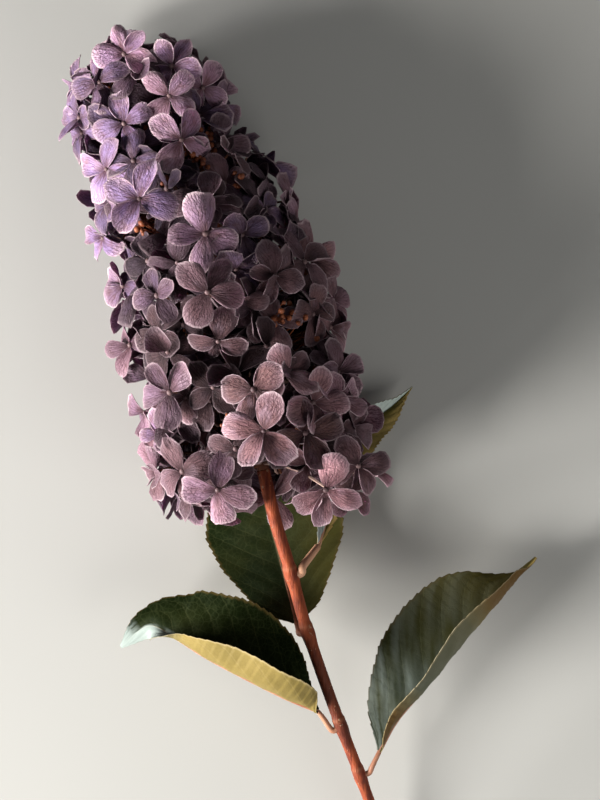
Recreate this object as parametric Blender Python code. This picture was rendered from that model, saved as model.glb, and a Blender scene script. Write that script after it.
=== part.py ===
"""Panicle hydrangea: one cut flowering branch with four leaves, lying on its side.

Frame: metres, +Z up from the surface that the branch lies on, +Y from the cut end of the stem towards the tip
of the head, +X to the right as seen from above. The functions work in millimetres, with the foot of the head
at x = 0, y = 0, and the meshes are written in metres about ORIGIN.
"""

import math
import random

import bpy
from mathutils import Vector
from mathutils.bvhtree import BVHTree

MM = 0.001
ORIGIN = (14.85, 5.4)  # middle of the whole branch, in millimetres from the foot of the head

# Head: the florets' centres lie on a tapered body with a rounded tip, leaning to the left
HEAD_LENGTH = 180.0
DOME_START = 0.84
BELLY_GAP = 1.5

# How far the head's axis leans to the left, and the radius of its body, by the way from its foot
HEAD_LEAN = ((0.0, 0.0), (36.0, 6.5), (72.0, 16.0), (92.0, 22.0), (110.0, 29.0), (122.0, 36.0), (133.0, 41.5),
             (146.0, 45.5), (160.0, 48.0), (180.0, 49.0))
HEAD_RADIUS = ((0.0, 43.0), (36.0, 41.8), (72.0, 39.4), (92.0, 37.7), (110.0, 35.3), (122.0, 31.5),
               (133.0, 28.5), (146.0, 27.5), (160.0, 27.0), (180.0, 25.5))

# Core: the head's axis with its crowded side branches
CORE_SHARE = 0.55
CORE_START = 4.0
CORE_END = 0.94
CORE_FOOT_RADIUS = 4.5
CORE_SIDES = 10
CORE_RINGS = 9

# Florets
PETAL_THICKNESS = 0.7
SHOULDER = 0.77
HALF_WIDTH = 0.43
NOTCH = 0.42
NOTCH_SINK = 0.15
SHOULDER_SINK = 0.5
PETAL_PARTING = 0.06  # half the angle kept open between two crowded petals
WIDE_PARTING = 2.2  # angle between two petals from which the notch between them is cut deeper
WIDE_NOTCH = 0.6
STALK_RADIUS = 1.1
STALK_SIDES = 3
STALK_DROP = 9.0
STALK_ROOT = (CORE_START + 5.0, (CORE_END - 0.07) * HEAD_LENGTH)
RULED_LENGTH = 16.0
RULED_DEPTH = (-3.0, 2.0)
FRONT_SINK = 4.0  # how much deeper the ruled florets sit at the front, between the placed ones
RULED_SPACING = 21.5
PLACED_SPACING = 17.6
RULED_STEPS = 760
RULED_START = -0.04  # share of the head's length at which its rounded foot starts
RULED_END = 0.955
OUTWARD_SHARE = 0.55
STEM_CORRIDOR = 12.0  # half the width left open round the stem at the foot
CORRIDOR_END = 4.0
LEAF_GAP = (40.0, 26.0, 50.0)  # left free of ruled florets, where a leaf comes out from under the head
LEAF_GAP_REACH = 13.0
LIFTS = (0.0, 2.5, 5.0, 7.5)
REST_REACH = 1.6
GOLDEN_ANGLE = math.radians(137.508)
CLEARANCE = 1.0

# Stem
STEM_TOP_RADIUS = 2.6
STEM_END_RADIUS = 2.1
STEM_SIDES = 10
STEM_RINGS = 36
STEM_LENGTH = 170.0
STEM_ARCH = 0.4 * math.pi
STEM_PATH = ((52.5, -170), (47.0, -146), (38.8, -122), (32.0, -104), (24.0, -82), (16.0, -58), (10.0, -36),
             (4.0, -16), (0.0, 0.0))
NODE_SWELL = 0.5
NODE_REACH = 3.5
SEAT_GAP = 0.3

# Leaves
LEAF_STALK_DEPTHS = (0.9, 1.6, 1.9, 1.6, 0.9)  # across the stalk, over its radius
TIP_HALF_WIDTH = 0.7
RIB_THICKNESS = 1.3
RIB_TAPER = 0.4
BLADE_THICKNESS = 0.8
MARGIN_THICKNESS = 0.66
TEETH = 11
TOOTH = 1.1
STALK_STATIONS = 5
# Shares of a half blade's full width, from the leaf's base to its tip
BROAD_AT_BASE = ((0.0, 0.03), (0.08, 0.31), (0.167, 0.63), (0.25, 0.85), (0.333, 0.96), (0.42, 1.0),
                 (0.5, 0.98), (0.583, 0.89), (0.667, 0.745), (0.75, 0.55), (0.833, 0.25), (0.917, 0.15),
                 (1.0, 0.02))
FOLDED_AT_BASE = ((0.0, 0.05), (0.08, 0.68), (0.167, 0.96), (0.25, 1.0), (0.333, 0.99), (0.42, 0.88),
                  (0.5, 0.72), (0.6, 0.42), (0.667, 0.22), (0.72, 0.18), (0.833, 0.21), (0.917, 0.14),
                  (1.0, 0.02))
BROAD_IN_MIDDLE = ((0.0, 0.04), (0.1, 0.3), (0.25, 0.62), (0.4, 0.88), (0.55, 1.0), (0.7, 0.87),
                   (0.8, 0.63), (0.88, 0.36), (0.94, 0.15), (1.0, 0.02))
BROAD_NEAR_TIP = ((0.0, 0.03), (0.08, 0.25), (0.167, 0.54), (0.25, 0.77), (0.333, 0.93), (0.42, 0.99),
                  (0.5, 1.0), (0.583, 0.96), (0.667, 0.87), (0.75, 0.66), (0.833, 0.3), (0.9, 0.08),
                  (1.0, 0.02))
BROAD_FOOT = ((0.0, 0.05), (0.06, 0.4), (0.12, 0.6), (0.2, 0.68), (0.4, 0.88), (0.55, 1.0), (0.7, 0.87),
              (0.8, 0.63), (0.88, 0.36), (0.94, 0.15), (1.0, 0.02))

# Shares of a half blade's full fold, from the leaf's base to its tip
OPEN_AT_ENDS = ((0.0, 0.0), (0.167, 1.0), (0.833, 1.0), (1.0, 0.0))
FOLDED_TO_BASE = ((0.0, 0.6), (0.05, 1.0), (0.9, 1.0), (1.0, 0.5))
OPEN_AT_TIP = ((0.0, 0.6), (0.05, 1.0), (0.62, 1.0), (0.667, 0.9), (0.72, 0.45), (0.77, 0.1), (0.8, 0.0),
               (1.0, 0.0))
OPEN_AT_BASE = ((0.0, 0.0), (0.1, 0.1), (0.2, 0.45), (0.35, 1.0), (1.0, 1.0))

# Florets that show at the front: place seen from above, petal length, directions of the petals that show
# (degrees, 0 to the right, 90 towards the head's tip), how far the floret is turned to the right and towards
# the tip (degrees), and how far it stands out
FRONT_FLORETS = (
    (-56, 170, 12.5, (38, 110, 183, 333), 0, 5, 3),
    (-66, 159, 12.5, (30, 105, 200, 280), -25, 10, 0),
    (-77, 160, 13, (95, 190, 260, 20), -50, 0, -4),
    (-37, 165, 12, (115, 58, 350, 220), -22, -8, 2),
    (-25, 157, 12, (60, 150, 240, 330), -8, -10, 1),
    (-18, 151, 11, (15, 325, 100), 25, 0, -3),
    (-38, 153, 12, (140, 325), 10, -20, 0),
    (-56, 142, 13, (105, 30), -10, -10, -2),
    (-75, 146, 13, (165, 100), -45, 0, 0),
    (-74, 140, 12.5, (180, 100), -55, -10, 0),
    (-33, 135, 14, (145, 340, 50, 240), 5, -10, 4),
    (-52, 127, 13, (100, 350, 190, 270), -10, 0, -2),
    (-49, 111, 14.5, (75, 157, 243, 345), -10, -5, 6),
    (-63, 124, 14, (160, 80, 250, 330), -40, 0, 1),
    (-62, 110, 13, (165,), -45, 0, -3),
    (-65, 97, 13, (165, 230), -30, -10, 0),
    (-23, 97, 15, (105, 185, 262, 335), 5, 0, 5),
    (-22, 74, 15.5, (135, 60, 355, 245), 0, 0, 6),
    (-18, 55, 12, (75, 180, 350), 0, -50, -4),
    (4, 81, 12, (107, 175, 245, 340), 15, 0, -1),
    (17, 90, 15.5, (15, 325, 250, 100), 18, -5, 0),
    (-9, 97, 12.5, (125, 30, 285, 210), 10, 0, -5),
    (0, 107, 11, (345, 60, 150, 250), 25, 30, -4),
    (-23, 110, 15, (175, 355, 85, 265), 0, 55, -4),
    (-19, 134, 13, (80, 285, 0, 180), 5, -5, -1),
    (-4, 119, 11, (120, 55), 20, 40, -3),
    (8, 112, 12, (10, 100), 55, 10, -2),
    (11, 101, 12, (0, 90), 45, 0, -4),
    (-57, 78, 13, (60, 140, 220, 330), -30, 0, -1),
    (-42, 73, 11, (105, 20, 200, 300), -25, 10, 3),
    (-41, 59, 12, (110, 45), -25, 15, -5),
    (-54, 54, 13.5, (125, 200, 265, 20), -35, 0, 1),
    (-38, 51, 13.5, (15, 325), 0, -45, -3),
    (-37, 35, 14, (120, 55, 190, 265), -15, 0, 3),
    (-48, 27, 12.5, (200, 140), -45, 0, 0),
    (-41, 19, 9.5, (100, 190, 250, 315), -10, 0, -3),
    (-45, 9, 13.5, (170,), -40, -10, -6),
    (-43, 3, 12, (205, 285), -50, -30, -3),
    (-32, 4, 15, (215, 275), -20, -10, 0),
    (-18, -3, 14.5, (82, 172, 268, 340), -15, -15, 4),
    (-25, -8, 11.5, (255,), -10, -20, -6),
    (-11, 13, 12, (255,), 0, -15, -2),
    (0, 20, 15.5, (72, 168, 240, 312), -18, -10, 7),
    (-4, 36, 13.5, (38, 178, 250, 325), -5, 0, 4),
    (8, 42, 13.5, (115, 35, 335, 225), 5, 5, -4),
    (19, 31, 14, (75, 0, 200, 270), 20, 0, -3),
    (29, 33, 13.5, (28, 328, 260, 130), 25, 0, 0),
    (29, 43, 13.5, (97, 30, 200, 300), 40, 5, 0),
    (26, 61, 13.5, (350, 60, 300), 35, 5, -2),
    (19, 66, 13, (85, 170, 270, 15), 35, 0, -3),
    (37, 6, 13, (125, 5, 295, 205), -5, -10, 0),
    (24, -3, 14, (70, 205, 262, 335), -15, -16, 5),
    (34, -4, 12, (310,), 15, -15, -3),
    (16, 19, 15, (295, 15), 10, 0, -3),
    (-46, 87, 12, (200,), -10, 0, -6),
    (-34, 86, 12, (90,), 0, -60, 0),
    (-16, 118, 12, (30,), 0, 40, -5),
    (27, 72, 12, (20,), 40, 10, 0),
    (-31, 33, 11, (10,), 0, 0, -7),
    (4, 62, 12, (20, 110, 200, 290), 10, 25, -7),
    (-9, 71, 11, (0, 90, 180, 270), 10, 0, -6),
    (-20, 37, 12, (40, 130, 220, 310), -10, 0, -7),
    (17, 7, 12, (60, 150, 240, 330), 15, -35, -12),
)


def remove_scene_objects():
    for item in list(bpy.data.objects):
        bpy.data.objects.remove(item, do_unlink=True)


def make_material(name, colour, roughness):
    material = bpy.data.materials.new(name)
    material.use_nodes = True
    shader = material.node_tree.nodes["Principled BSDF"]
    shader.inputs["Base Color"].default_value = (*colour, 1.0)
    shader.inputs["Roughness"].default_value = roughness
    shader.inputs["Metallic"].default_value = 0.0
    return material


def make_object(name, points, faces, material, collection=None):
    """A mesh object from points in millimetres, in the branch's own frame in metres."""
    mesh = bpy.data.meshes.new(name)
    shifted = [((p[0] - ORIGIN[0]) * MM, (p[1] - ORIGIN[1]) * MM, p[2] * MM) for p in points]
    mesh.from_pydata(shifted, [], faces)
    mesh.materials.append(material)
    item = bpy.data.objects.new(name, mesh)
    (collection or bpy.context.scene.collection).objects.link(item)
    return item


def between(table, x):
    """Value at x on the straight lines through the table's points."""
    for (x0, y0), (x1, y1) in zip(table, table[1:]):
        if x <= x1:
            return y0 + (y1 - y0) * (x - x0) / (x1 - x0)
    return table[-1][1]


def smooth_path(points, count):
    """Evenly stepped points on a Catmull-Rom curve through the given ones."""
    ends = [points[0] * 2 - points[1], *points, points[-1] * 2 - points[-2]]
    spans = len(points) - 1
    path = []
    for i in range(count):
        u = i * spans / (count - 1)
        k = min(int(u), spans - 1)
        u -= k
        a, b, c, d = ends[k:k + 4]
        path.append(0.5 * (2 * b + (c - a) * u + (2 * a - 5 * b + 4 * c - d) * u * u
                           + (3 * b - a - 3 * c + d) * u ** 3))
    return path


def path_directions(path):
    last = len(path) - 1
    return [(path[min(i + 1, last)] - path[max(i - 1, 0)]).normalized() for i in range(len(path))]


def body_radius(y):
    """Radius of the head's body, its rounded tip left out."""
    return between(HEAD_RADIUS, max(y, 0.0))


def end_slope(y):
    """0 along the body, rising to 1 at the tip of the head and falling towards -1 round its foot."""
    t = y / HEAD_LENGTH
    if t < 0.0:
        return max(t / (1.2 * -RULED_START), -1.0)
    return min(max((t - DOME_START) / (1.0 - DOME_START), 0.0), 1.0)


def dome(y):
    """1 along the body, falling to 0 at the tip of the head and a little round its foot."""
    return math.sqrt(1.0 - end_slope(y) ** 2)


def floret_radius(y):
    return body_radius(y) * dome(y)


def head_axis(y):
    return Vector((-between(HEAD_LEAN, max(y, 0.0)), y, body_radius(y) + BELLY_GAP))


def stem_height(y):
    """The stem arches from the cut end on the surface up to the foot of the head."""
    rise = head_axis(0.0).z - STEM_END_RADIUS
    share = (y + STEM_LENGTH) / STEM_LENGTH
    return STEM_END_RADIUS + rise * math.sin(STEM_ARCH * share) / math.sin(STEM_ARCH)


def stem_axis(y):
    """Point on the stem's centre line, y mm above the foot of the head."""
    for (x0, y0), (x1, y1) in zip(STEM_PATH, STEM_PATH[1:]):
        if y <= y1:
            break
    return Vector((x0 + (x1 - x0) * (y - y0) / (y1 - y0), y, stem_height(y)))


def stem_radius(y, leaves):
    share = min(max(-y / STEM_LENGTH, 0.0), 1.0)
    radius = STEM_TOP_RADIUS + (STEM_END_RADIUS - STEM_TOP_RADIUS) * share
    swell = sum(math.exp(-((y - leaf["node"]) / NODE_REACH) ** 2) for leaf in leaves)
    return radius + NODE_SWELL * swell


def ring(centre, direction, radius, sides):
    """Points of a circle square to a direction."""
    side = direction.cross(Vector((0, 0, 1))).normalized()
    up = side.cross(direction)
    turns = [2 * math.pi * k / sides for k in range(sides)]
    return [centre + radius * (math.cos(a) * side + math.sin(a) * up) for a in turns]


def tube_faces(rings, sides):
    faces = []
    for i in range(rings - 1):
        for k in range(sides):
            n = (k + 1) % sides
            faces.append((i * sides + k, (i + 1) * sides + k, (i + 1) * sides + n, i * sides + n))
    faces.append(tuple(range(sides)))
    faces.append(tuple(reversed(range((rings - 1) * sides, rings * sides))))
    return faces


def make_stem(leaves, material):
    """The stem, ending square a small gap short of the core's foot."""
    top = head_axis(CORE_START)
    knots = [stem_axis(y) for _, y in STEM_PATH[:-1]]
    end = top - core_direction() * SEAT_GAP
    path = smooth_path([*knots, end], STEM_RINGS)
    directions = path_directions(path)
    directions[-1] = core_direction()
    points = []
    for centre, direction in zip(path, directions):
        points += ring(centre, direction, stem_radius(centre.y, leaves), STEM_SIDES)
    lowest = min(p.z for p in points)
    points = [p - Vector((0, 0, lowest)) if p.z < 3 * STEM_END_RADIUS else p for p in points]
    stem = make_object("stem", points, tube_faces(STEM_RINGS, STEM_SIDES), material)
    stem.data.shade_smooth()
    stem.data.set_sharp_from_angle(angle=math.radians(40))
    return stem


def core_direction():
    return (head_axis(CORE_START + 8.0) - head_axis(CORE_START)).normalized()


LEAVES = (
    {"name": "leaf_left", "node": -100.5, "side": (-0.93, -0.34, 0.1), "stalk_radius": 1.0,
     "stalk": ((23.5, -97.0, 25.5),),
     "rib": ((21.2, -94.0, 26), (8, -88.4, 28.5), (-8.8, -80.0, 30.5), (-24, -72.0, 30.5), (-37.2, -64.0, 28),
             (-47.6, -59.6, 24.5), (-58.8, -68.4, 19)),
     "left": (28.0, FOLDED_AT_BASE, (90, 136), OPEN_AT_TIP),
     "right": (29.0, BROAD_AT_BASE, (-4, 10), OPEN_AT_ENDS)},
    {"name": "leaf_back", "node": -62.0, "side": (-0.9, -0.05, -0.42), "stalk_radius": 1.0,
     "stalk": ((13.2, -60.3, 30.6),),
     "rib": ((12.4, -58.0, 28.5), (10.8, -52, 24.5), (7.6, -40, 17), (4.4, -28, 10.5), (1.2, -16, 6.2),
             (-1.2, -6, 3.8), (-4, 4, 2.5), (-6, 13, 1.6)),
     "left": (27.5, BROAD_IN_MIDDLE, (-4, -8), OPEN_AT_ENDS),
     "right": (31.5, BROAD_IN_MIDDLE, (8, 2), OPEN_AT_ENDS)},
    {"name": "leaf_upper_right", "node": -38.5, "side": (0.93, 0.3, -0.1), "stalk_radius": 1.5,
     "stalk": ((15.0, -35.0, 39.0), (18.6, -30.5, 32.0)),
     "rib": ((21.6, -27, 23.5), (27, -12, 13.0), (31.5, 3, 7.5), (37.5, 16, 5.0), (45, 24.5, 4.5),
             (52.5, 30.5, 5.0), (60, 37.5, 7.0)),
     "left": (7.5, BROAD_FOOT, (40, 50), OPEN_AT_BASE),
     "right": (9.5, BROAD_IN_MIDDLE, (18, 28), OPEN_AT_ENDS)},
    {"name": "leaf_right", "node": -121.0, "side": (0.94, 0.33, 0.0), "stalk_radius": 1.0,
     "stalk": ((43.4, -117.0, 19.5),),
     "rib": ((46.4, -110.8, 19.5), (53.5, -98, 21.5), (65.5, -84, 23.5), (77.5, -69, 24), (89, -55.5, 22),
             (99, -44.5, 18), (110.4, -32.4, 12)),
     "left": (27.6, BROAD_NEAR_TIP, (6, -4), OPEN_AT_ENDS),
     "right": (25.0, BROAD_IN_MIDDLE, (86, 122), FOLDED_TO_BASE)},
)


def leaf_stations(leaf):
    """Points and shares along a leaf's stalk and rib: (place, share of the blade, or None on the stalk)."""
    side = Vector(leaf["side"]).normalized()
    foot = stem_axis(leaf["node"]) + side * (stem_radius(leaf["node"], LEAVES) + SEAT_GAP)
    stalk = smooth_path([foot, foot + side * 1.6, *map(Vector, leaf["stalk"]), Vector(leaf["rib"][0])],
                        STALK_STATIONS + 1)
    blade = smooth_path([Vector(p) for p in leaf["rib"]], 2 * TEETH + 1)
    stations = [(p, None) for p in stalk[:-1]]
    stations += [(p, i / (2 * TEETH)) for i, p in enumerate(blade)]
    return stations


def half_blade(leaf, half, share, toothed):
    """Offsets, sideways and upwards, of the middle and the margin of half a blade, or of the stalk."""
    full, shares, fold, openings = leaf[half]
    if share is None:
        width = leaf["stalk_radius"]
        opening = 0.0
    else:
        outline = between(shares, share)
        tooth = TOOTH * min(1.0, 4 * outline) if toothed else 0.0
        width = max(full * outline, TIP_HALF_WIDTH) + tooth
        opening = between(openings, share)
    offsets = []
    across = up = 0.0
    for angle in fold:
        a = math.radians(angle) * opening
        across += 0.5 * width * math.cos(a)
        up += 0.5 * width * math.sin(a)
        offsets.append((across, up))
    return offsets


def leaf_rows(leaf):
    """Rows of five points across the leaf, from its left margin to its right, with the thickness at each."""
    stations = leaf_stations(leaf)
    directions = path_directions([p for p, _ in stations])
    directions[0] = Vector(leaf["side"]).normalized()
    rows = []
    for i, ((place, share), along) in enumerate(zip(stations, directions)):
        if share is None:
            depths = [depth * leaf["stalk_radius"] for depth in LEAF_STALK_DEPTHS]
        else:
            rib = RIB_THICKNESS + RIB_TAPER * (1.0 - share)
            depths = (MARGIN_THICKNESS, BLADE_THICKNESS, rib, BLADE_THICKNESS, MARGIN_THICKNESS)
        up = Vector((0, 0, 1)) if abs(along.z) < 0.9 else Vector((1, 0, 0))
        normal = (up - up.dot(along) * along).normalized()
        across = normal.cross(along)
        (l1, lu1), (l2, lu2) = half_blade(leaf, "left", share, i % 2)
        (r1, ru1), (r2, ru2) = half_blade(leaf, "right", share, i % 2)
        row = [place + l2 * across + lu2 * normal, place + l1 * across + lu1 * normal, place,
               place - r1 * across + ru1 * normal, place - r2 * across + ru2 * normal]
        rows.append((row, depths))
    return rows


def make_leaf(leaf, material):
    """A thin closed blade with a toothed margin, its rib running on as the leaf's stalk."""
    rows = leaf_rows(leaf)
    last = len(rows) - 1
    tops, bottoms = [], []
    for i, (row, depths) in enumerate(rows):
        before, after = rows[max(i - 1, 0)][0], rows[min(i + 1, last)][0]
        for j, (point, depth) in enumerate(zip(row, depths)):
            along = (after[j] - before[j]).normalized()
            across = (row[max(j - 1, 0)] - row[min(j + 1, 4)]).normalized()
            normal = along.cross(across).normalized()
            tops.append(point + 0.5 * depth * normal)
            bottoms.append(point - 0.5 * depth * normal)
    count = len(tops)
    faces = []
    for i in range(last):
        for j in range(4):
            a, b, c, d = i * 5 + j, i * 5 + j + 1, i * 5 + j + 6, i * 5 + j + 5
            split = ((a, b, c), (a, c, d)) if j < 2 else ((a, b, d), (b, c, d))
            for tri in split:
                faces.append(tri)
                faces.append(tuple(count + k for k in reversed(tri)))
        for a, d in ((i * 5, i * 5 + 5), (i * 5 + 9, i * 5 + 4)):
            faces.append((a, d, count + d))
            faces.append((a, count + d, count + a))
    for start, step in ((0, 1), (last * 5, -1)):
        for j in range(4):
            a, b = (start + j, start + j + 1) if step == 1 else (start + j + 1, start + j)
            faces.append((b, a, count + a))
            faces.append((b, count + a, count + b))
    item = make_object(leaf["name"], tops + bottoms, faces, material)
    item.data.shade_smooth()
    item.data.set_sharp_from_angle(angle=math.radians(50))
    return item


def spread_petals(angles):
    """Four petal directions: the given ones, and the rest spaced in the widest gaps between them."""
    known = sorted(a % 360 for a in angles)
    gaps = [((known + [known[0] + 360])[i + 1] - known[i]) for i in range(len(known))]
    extra = [0] * len(known)
    for _ in range(4 - len(known)):
        widest = max(range(len(known)), key=lambda k: gaps[k] / (extra[k] + 1))
        extra[widest] += 1
    full = []
    for start, gap, more in zip(known, gaps, extra):
        full += [start + gap * k / (more + 1) for k in range(more + 1)]
    return full


def facing(right, up):
    right, up = math.radians(right), math.radians(up)
    return Vector((math.sin(right) * math.cos(up), math.sin(up), math.cos(right) * math.cos(up)))


def front_florets():
    """The florets placed one by one, as seen from above."""
    florets = []
    for k, (x, y, length, angles, right, up, lift) in enumerate(FRONT_FLORETS):
        rng = random.Random(100 + k)
        axis = head_axis(y)
        radius = floret_radius(y)
        aside = min(abs(x - axis.x), radius)
        centre = Vector((x, y, axis.z + math.sqrt(radius * radius - aside * aside) + lift))
        outward = (centre - axis).normalized()
        normal = (facing(right, up) + OUTWARD_SHARE * outward).normalized()
        petals = []
        for angle in spread_petals(angles):
            flat = Vector((math.cos(math.radians(angle)), math.sin(math.radians(angle)), 0.0))
            flat.z = -flat.dot(normal) / normal.z
            petals.append((flat.normalized(), length * rng.uniform(0.94, 1.06)))
        droop = rng.uniform(-0.05, 0.2)
        florets.append({"centre": centre, "normal": normal, "petals": petals, "droop": droop})
    return florets


def ruled_floret(share, turn, rng):
    """A floret on the body of the head, at a share of its length and a turn about its axis."""
    y = share * HEAD_LENGTH
    axis = head_axis(y)
    along = (head_axis(max(y, 0.0) + 4.0) - head_axis(max(y, 0.0))).normalized()
    side = along.cross(Vector((0, 0, 1))).normalized()
    up = side.cross(along)
    outward = math.cos(turn) * side + math.sin(turn) * up
    sink = FRONT_SINK * max(outward.z, 0.0)
    centre = axis + outward * (floret_radius(y) + rng.uniform(*RULED_DEPTH) - sink)
    normal = outward * dome(y) + along * (end_slope(y) + rng.uniform(-0.25, 0.4))
    normal += Vector([rng.uniform(-0.25, 0.25) for _ in range(3)])
    normal.normalize()
    first = normal.orthogonal().normalized()
    second = normal.cross(first)
    start = rng.uniform(0.0, 0.5 * math.pi)
    petals = []
    for k in range(4):
        a = start + k * 0.5 * math.pi + rng.uniform(-0.12, 0.12)
        petals.append((math.cos(a) * first + math.sin(a) * second, RULED_LENGTH * rng.uniform(0.9, 1.06)))
    return {"centre": centre, "normal": normal, "petals": petals, "droop": rng.uniform(-0.05, 0.25)}


def floret_solid(floret, inflate=0.0):
    """Points and faces of one floret: four petals in one thin blade, on a slim stalk rooted in the core."""
    centre, normal = floret["centre"], floret["normal"]
    first = floret["petals"][0][0]
    second = normal.cross(first)

    def bearing(direction):
        return math.atan2(direction.dot(second), direction.dot(first)) % (2 * math.pi)

    petals = sorted(floret["petals"], key=lambda petal: bearing(petal[0]))
    turns = [bearing(direction) for direction, _ in petals]
    turns.append(turns[0] + 2 * math.pi)
    outline = []

    def add(turn, reach, sink):
        outline.append(centre + reach * (math.cos(turn) * first + math.sin(turn) * second) - sink * normal)

    for k, (_, length) in enumerate(petals):
        turn = turns[k]
        before = turn - (turns[k - 1] if k else turns[3] - 2 * math.pi)
        after = turns[k + 1] - turn
        sink = floret["droop"] * length
        wide = math.atan2(HALF_WIDTH, SHOULDER)
        reach = length * math.hypot(HALF_WIDTH, SHOULDER)
        add(turn - min(wide, 0.5 * before - PETAL_PARTING), reach, SHOULDER_SINK * sink)
        add(turn, length, sink)
        add(turn + min(wide, 0.5 * after - PETAL_PARTING), reach, SHOULDER_SINK * sink)
        notch = NOTCH * length * (1.0 if after < WIDE_PARTING else WIDE_NOTCH)
        add(turn + 0.5 * after, notch, NOTCH_SINK * sink)
    count = len(outline)
    under = (PETAL_THICKNESS + inflate) * normal
    over = inflate * normal
    points = [p + over for p in outline] + [p - under for p in outline]
    points.append(centre + over)
    foot = centre - under
    sector = 2 * math.pi / STALK_SIDES
    for k in range(STALK_SIDES):
        points.append(foot + STALK_RADIUS * (math.cos(k * sector) * first + math.sin(k * sector) * second))
    points.append(head_axis(min(max(centre.y - STALK_DROP, STALK_ROOT[0]), STALK_ROOT[1])))
    top, stalk, root = 2 * count, 2 * count + 1, 2 * count + 1 + STALK_SIDES
    faces = []
    for i in range(count):
        n = (i + 1) % count
        faces.append((top, i, n))
        faces.append((i, count + i, count + n))
        faces.append((i, count + n, n))
    near = []
    for i in range(count):
        spot = points[count + i] - foot
        turn = math.atan2(spot.dot(second), spot.dot(first))
        near.append(round(turn / sector) % STALK_SIDES)
    for i in range(count):
        n = (i + 1) % count
        faces.append((count + n, count + i, stalk + near[i]))
        if near[n] != near[i]:
            faces.append((count + n, stalk + near[i], stalk + near[n]))
    for k in range(STALK_SIDES):
        faces.append((stalk + (k + 1) % STALK_SIDES, stalk + k, root))
    return points, faces


def settled(floret, barriers):
    """Rests a low floret on the surface, and returns None where it would touch a leaf or the stem."""
    for lift in LIFTS:
        trial = dict(floret)
        trial["centre"] = floret["centre"] + Vector((0, 0, lift))
        lowest = min(p.z for p in floret_solid(trial)[0])
        if lowest < REST_REACH:
            trial["centre"] = trial["centre"] - Vector((0, 0, lowest))
        points, faces = floret_solid(trial, CLEARANCE)
        tree = BVHTree.FromPolygons(points, faces)
        if not any(tree.overlap(barrier) for barrier in barriers):
            return trial
    return None


def head_florets(barriers):
    """The placed florets, then as many by rule as there is room for over the rest of the head."""
    florets = [f for f in (settled(g, barriers) for g in front_florets()) if f]
    placed = len(florets)
    rng = random.Random(7)
    for k in range(RULED_STEPS):
        share = RULED_START + (RULED_END - RULED_START) * (k + 0.5) / RULED_STEPS
        candidate = ruled_floret(share, k * GOLDEN_ANGLE, rng)
        centre = candidate["centre"]
        if any((f["centre"] - centre).length < PLACED_SPACING for f in florets[:placed]):
            continue
        if any((f["centre"] - centre).length < RULED_SPACING for f in florets[placed:]):
            continue
        if centre.y < CORRIDOR_END and abs(centre.x) < STEM_CORRIDOR and centre.z > head_axis(0.0).z:
            continue
        if (centre - Vector(LEAF_GAP)).length < LEAF_GAP_REACH:
            continue
        candidate = settled(candidate, barriers)
        if candidate:
            florets.append(candidate)
    return florets


def make_core(material):
    """The spindle that the florets' stalks are rooted in."""
    start, end = CORE_START, CORE_END * HEAD_LENGTH
    centres = [head_axis(start + (end - start) * k / (CORE_RINGS - 1)) for k in range(CORE_RINGS)]
    directions = path_directions(centres)
    directions[0] = core_direction()
    points = []
    for k, (centre, direction) in enumerate(zip(centres, directions)):
        share = k / (CORE_RINGS - 1)
        full = CORE_SHARE * body_radius(centre.y)
        swell = math.sqrt(math.sin(math.pi * (0.06 + 0.9 * share)))
        radius = CORE_FOOT_RADIUS if k == 0 else full * min(1.0, swell * 1.1)
        points += ring(centre, direction, radius, CORE_SIDES)
    return make_object("flower_head", points, tube_faces(CORE_RINGS, CORE_SIDES), material)


def make_head(barriers, material):
    """Core and florets, joined into one solid."""
    florets = bpy.data.collections.new("florets")
    bpy.context.scene.collection.children.link(florets)
    for k, floret in enumerate(head_florets(barriers)):
        points, faces = floret_solid(floret)
        make_object(f"floret_{k}", points, faces, material, florets)
    head = make_core(material)
    union = head.modifiers.new("union", "BOOLEAN")
    union.operation = "UNION"
    union.operand_type = "COLLECTION"
    union.collection = florets
    union.solver = "MANIFOLD"
    joined = head.evaluated_get(bpy.context.evaluated_depsgraph_get())
    mesh = bpy.data.meshes.new_from_object(joined)
    head.modifiers.clear()
    head.data = mesh
    for item in list(florets.objects):
        bpy.data.objects.remove(item, do_unlink=True)
    bpy.data.collections.remove(florets)
    return head


def barrier_tree(item):
    """Search tree of an object's faces, in millimetres from the foot of the head."""
    shift = Vector((*ORIGIN, 0.0))
    points = [v.co / MM + shift for v in item.data.vertices]
    return BVHTree.FromPolygons(points, [tuple(p.vertices) for p in item.data.polygons])


def main():
    remove_scene_objects()
    bark = make_material("bark", (0.30, 0.09, 0.05), 0.55)
    green = make_material("leaf_green", (0.03, 0.06, 0.02), 0.45)
    mauve = make_material("petal_mauve", (0.24, 0.15, 0.22), 0.7)
    solids = [make_stem(LEAVES, bark)]
    solids += [make_leaf(leaf, green) for leaf in LEAVES]
    make_head([barrier_tree(item) for item in solids], mauve)


main()
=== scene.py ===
"""Looks of the cut panicle hydrangea branch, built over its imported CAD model.

The functions work in millimetres, with the foot of the head at x = 0, y = 0, +Y towards the head's tip and
+Z up from the floor. The meshes are written in metres about ORIGIN, the frame of the CAD model.
"""

from math import atan2, cos, exp, hypot, pi, radians, sin, sqrt
from random import Random

import bpy
import numpy as np
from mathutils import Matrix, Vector
from mathutils.bvhtree import BVHTree


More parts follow.
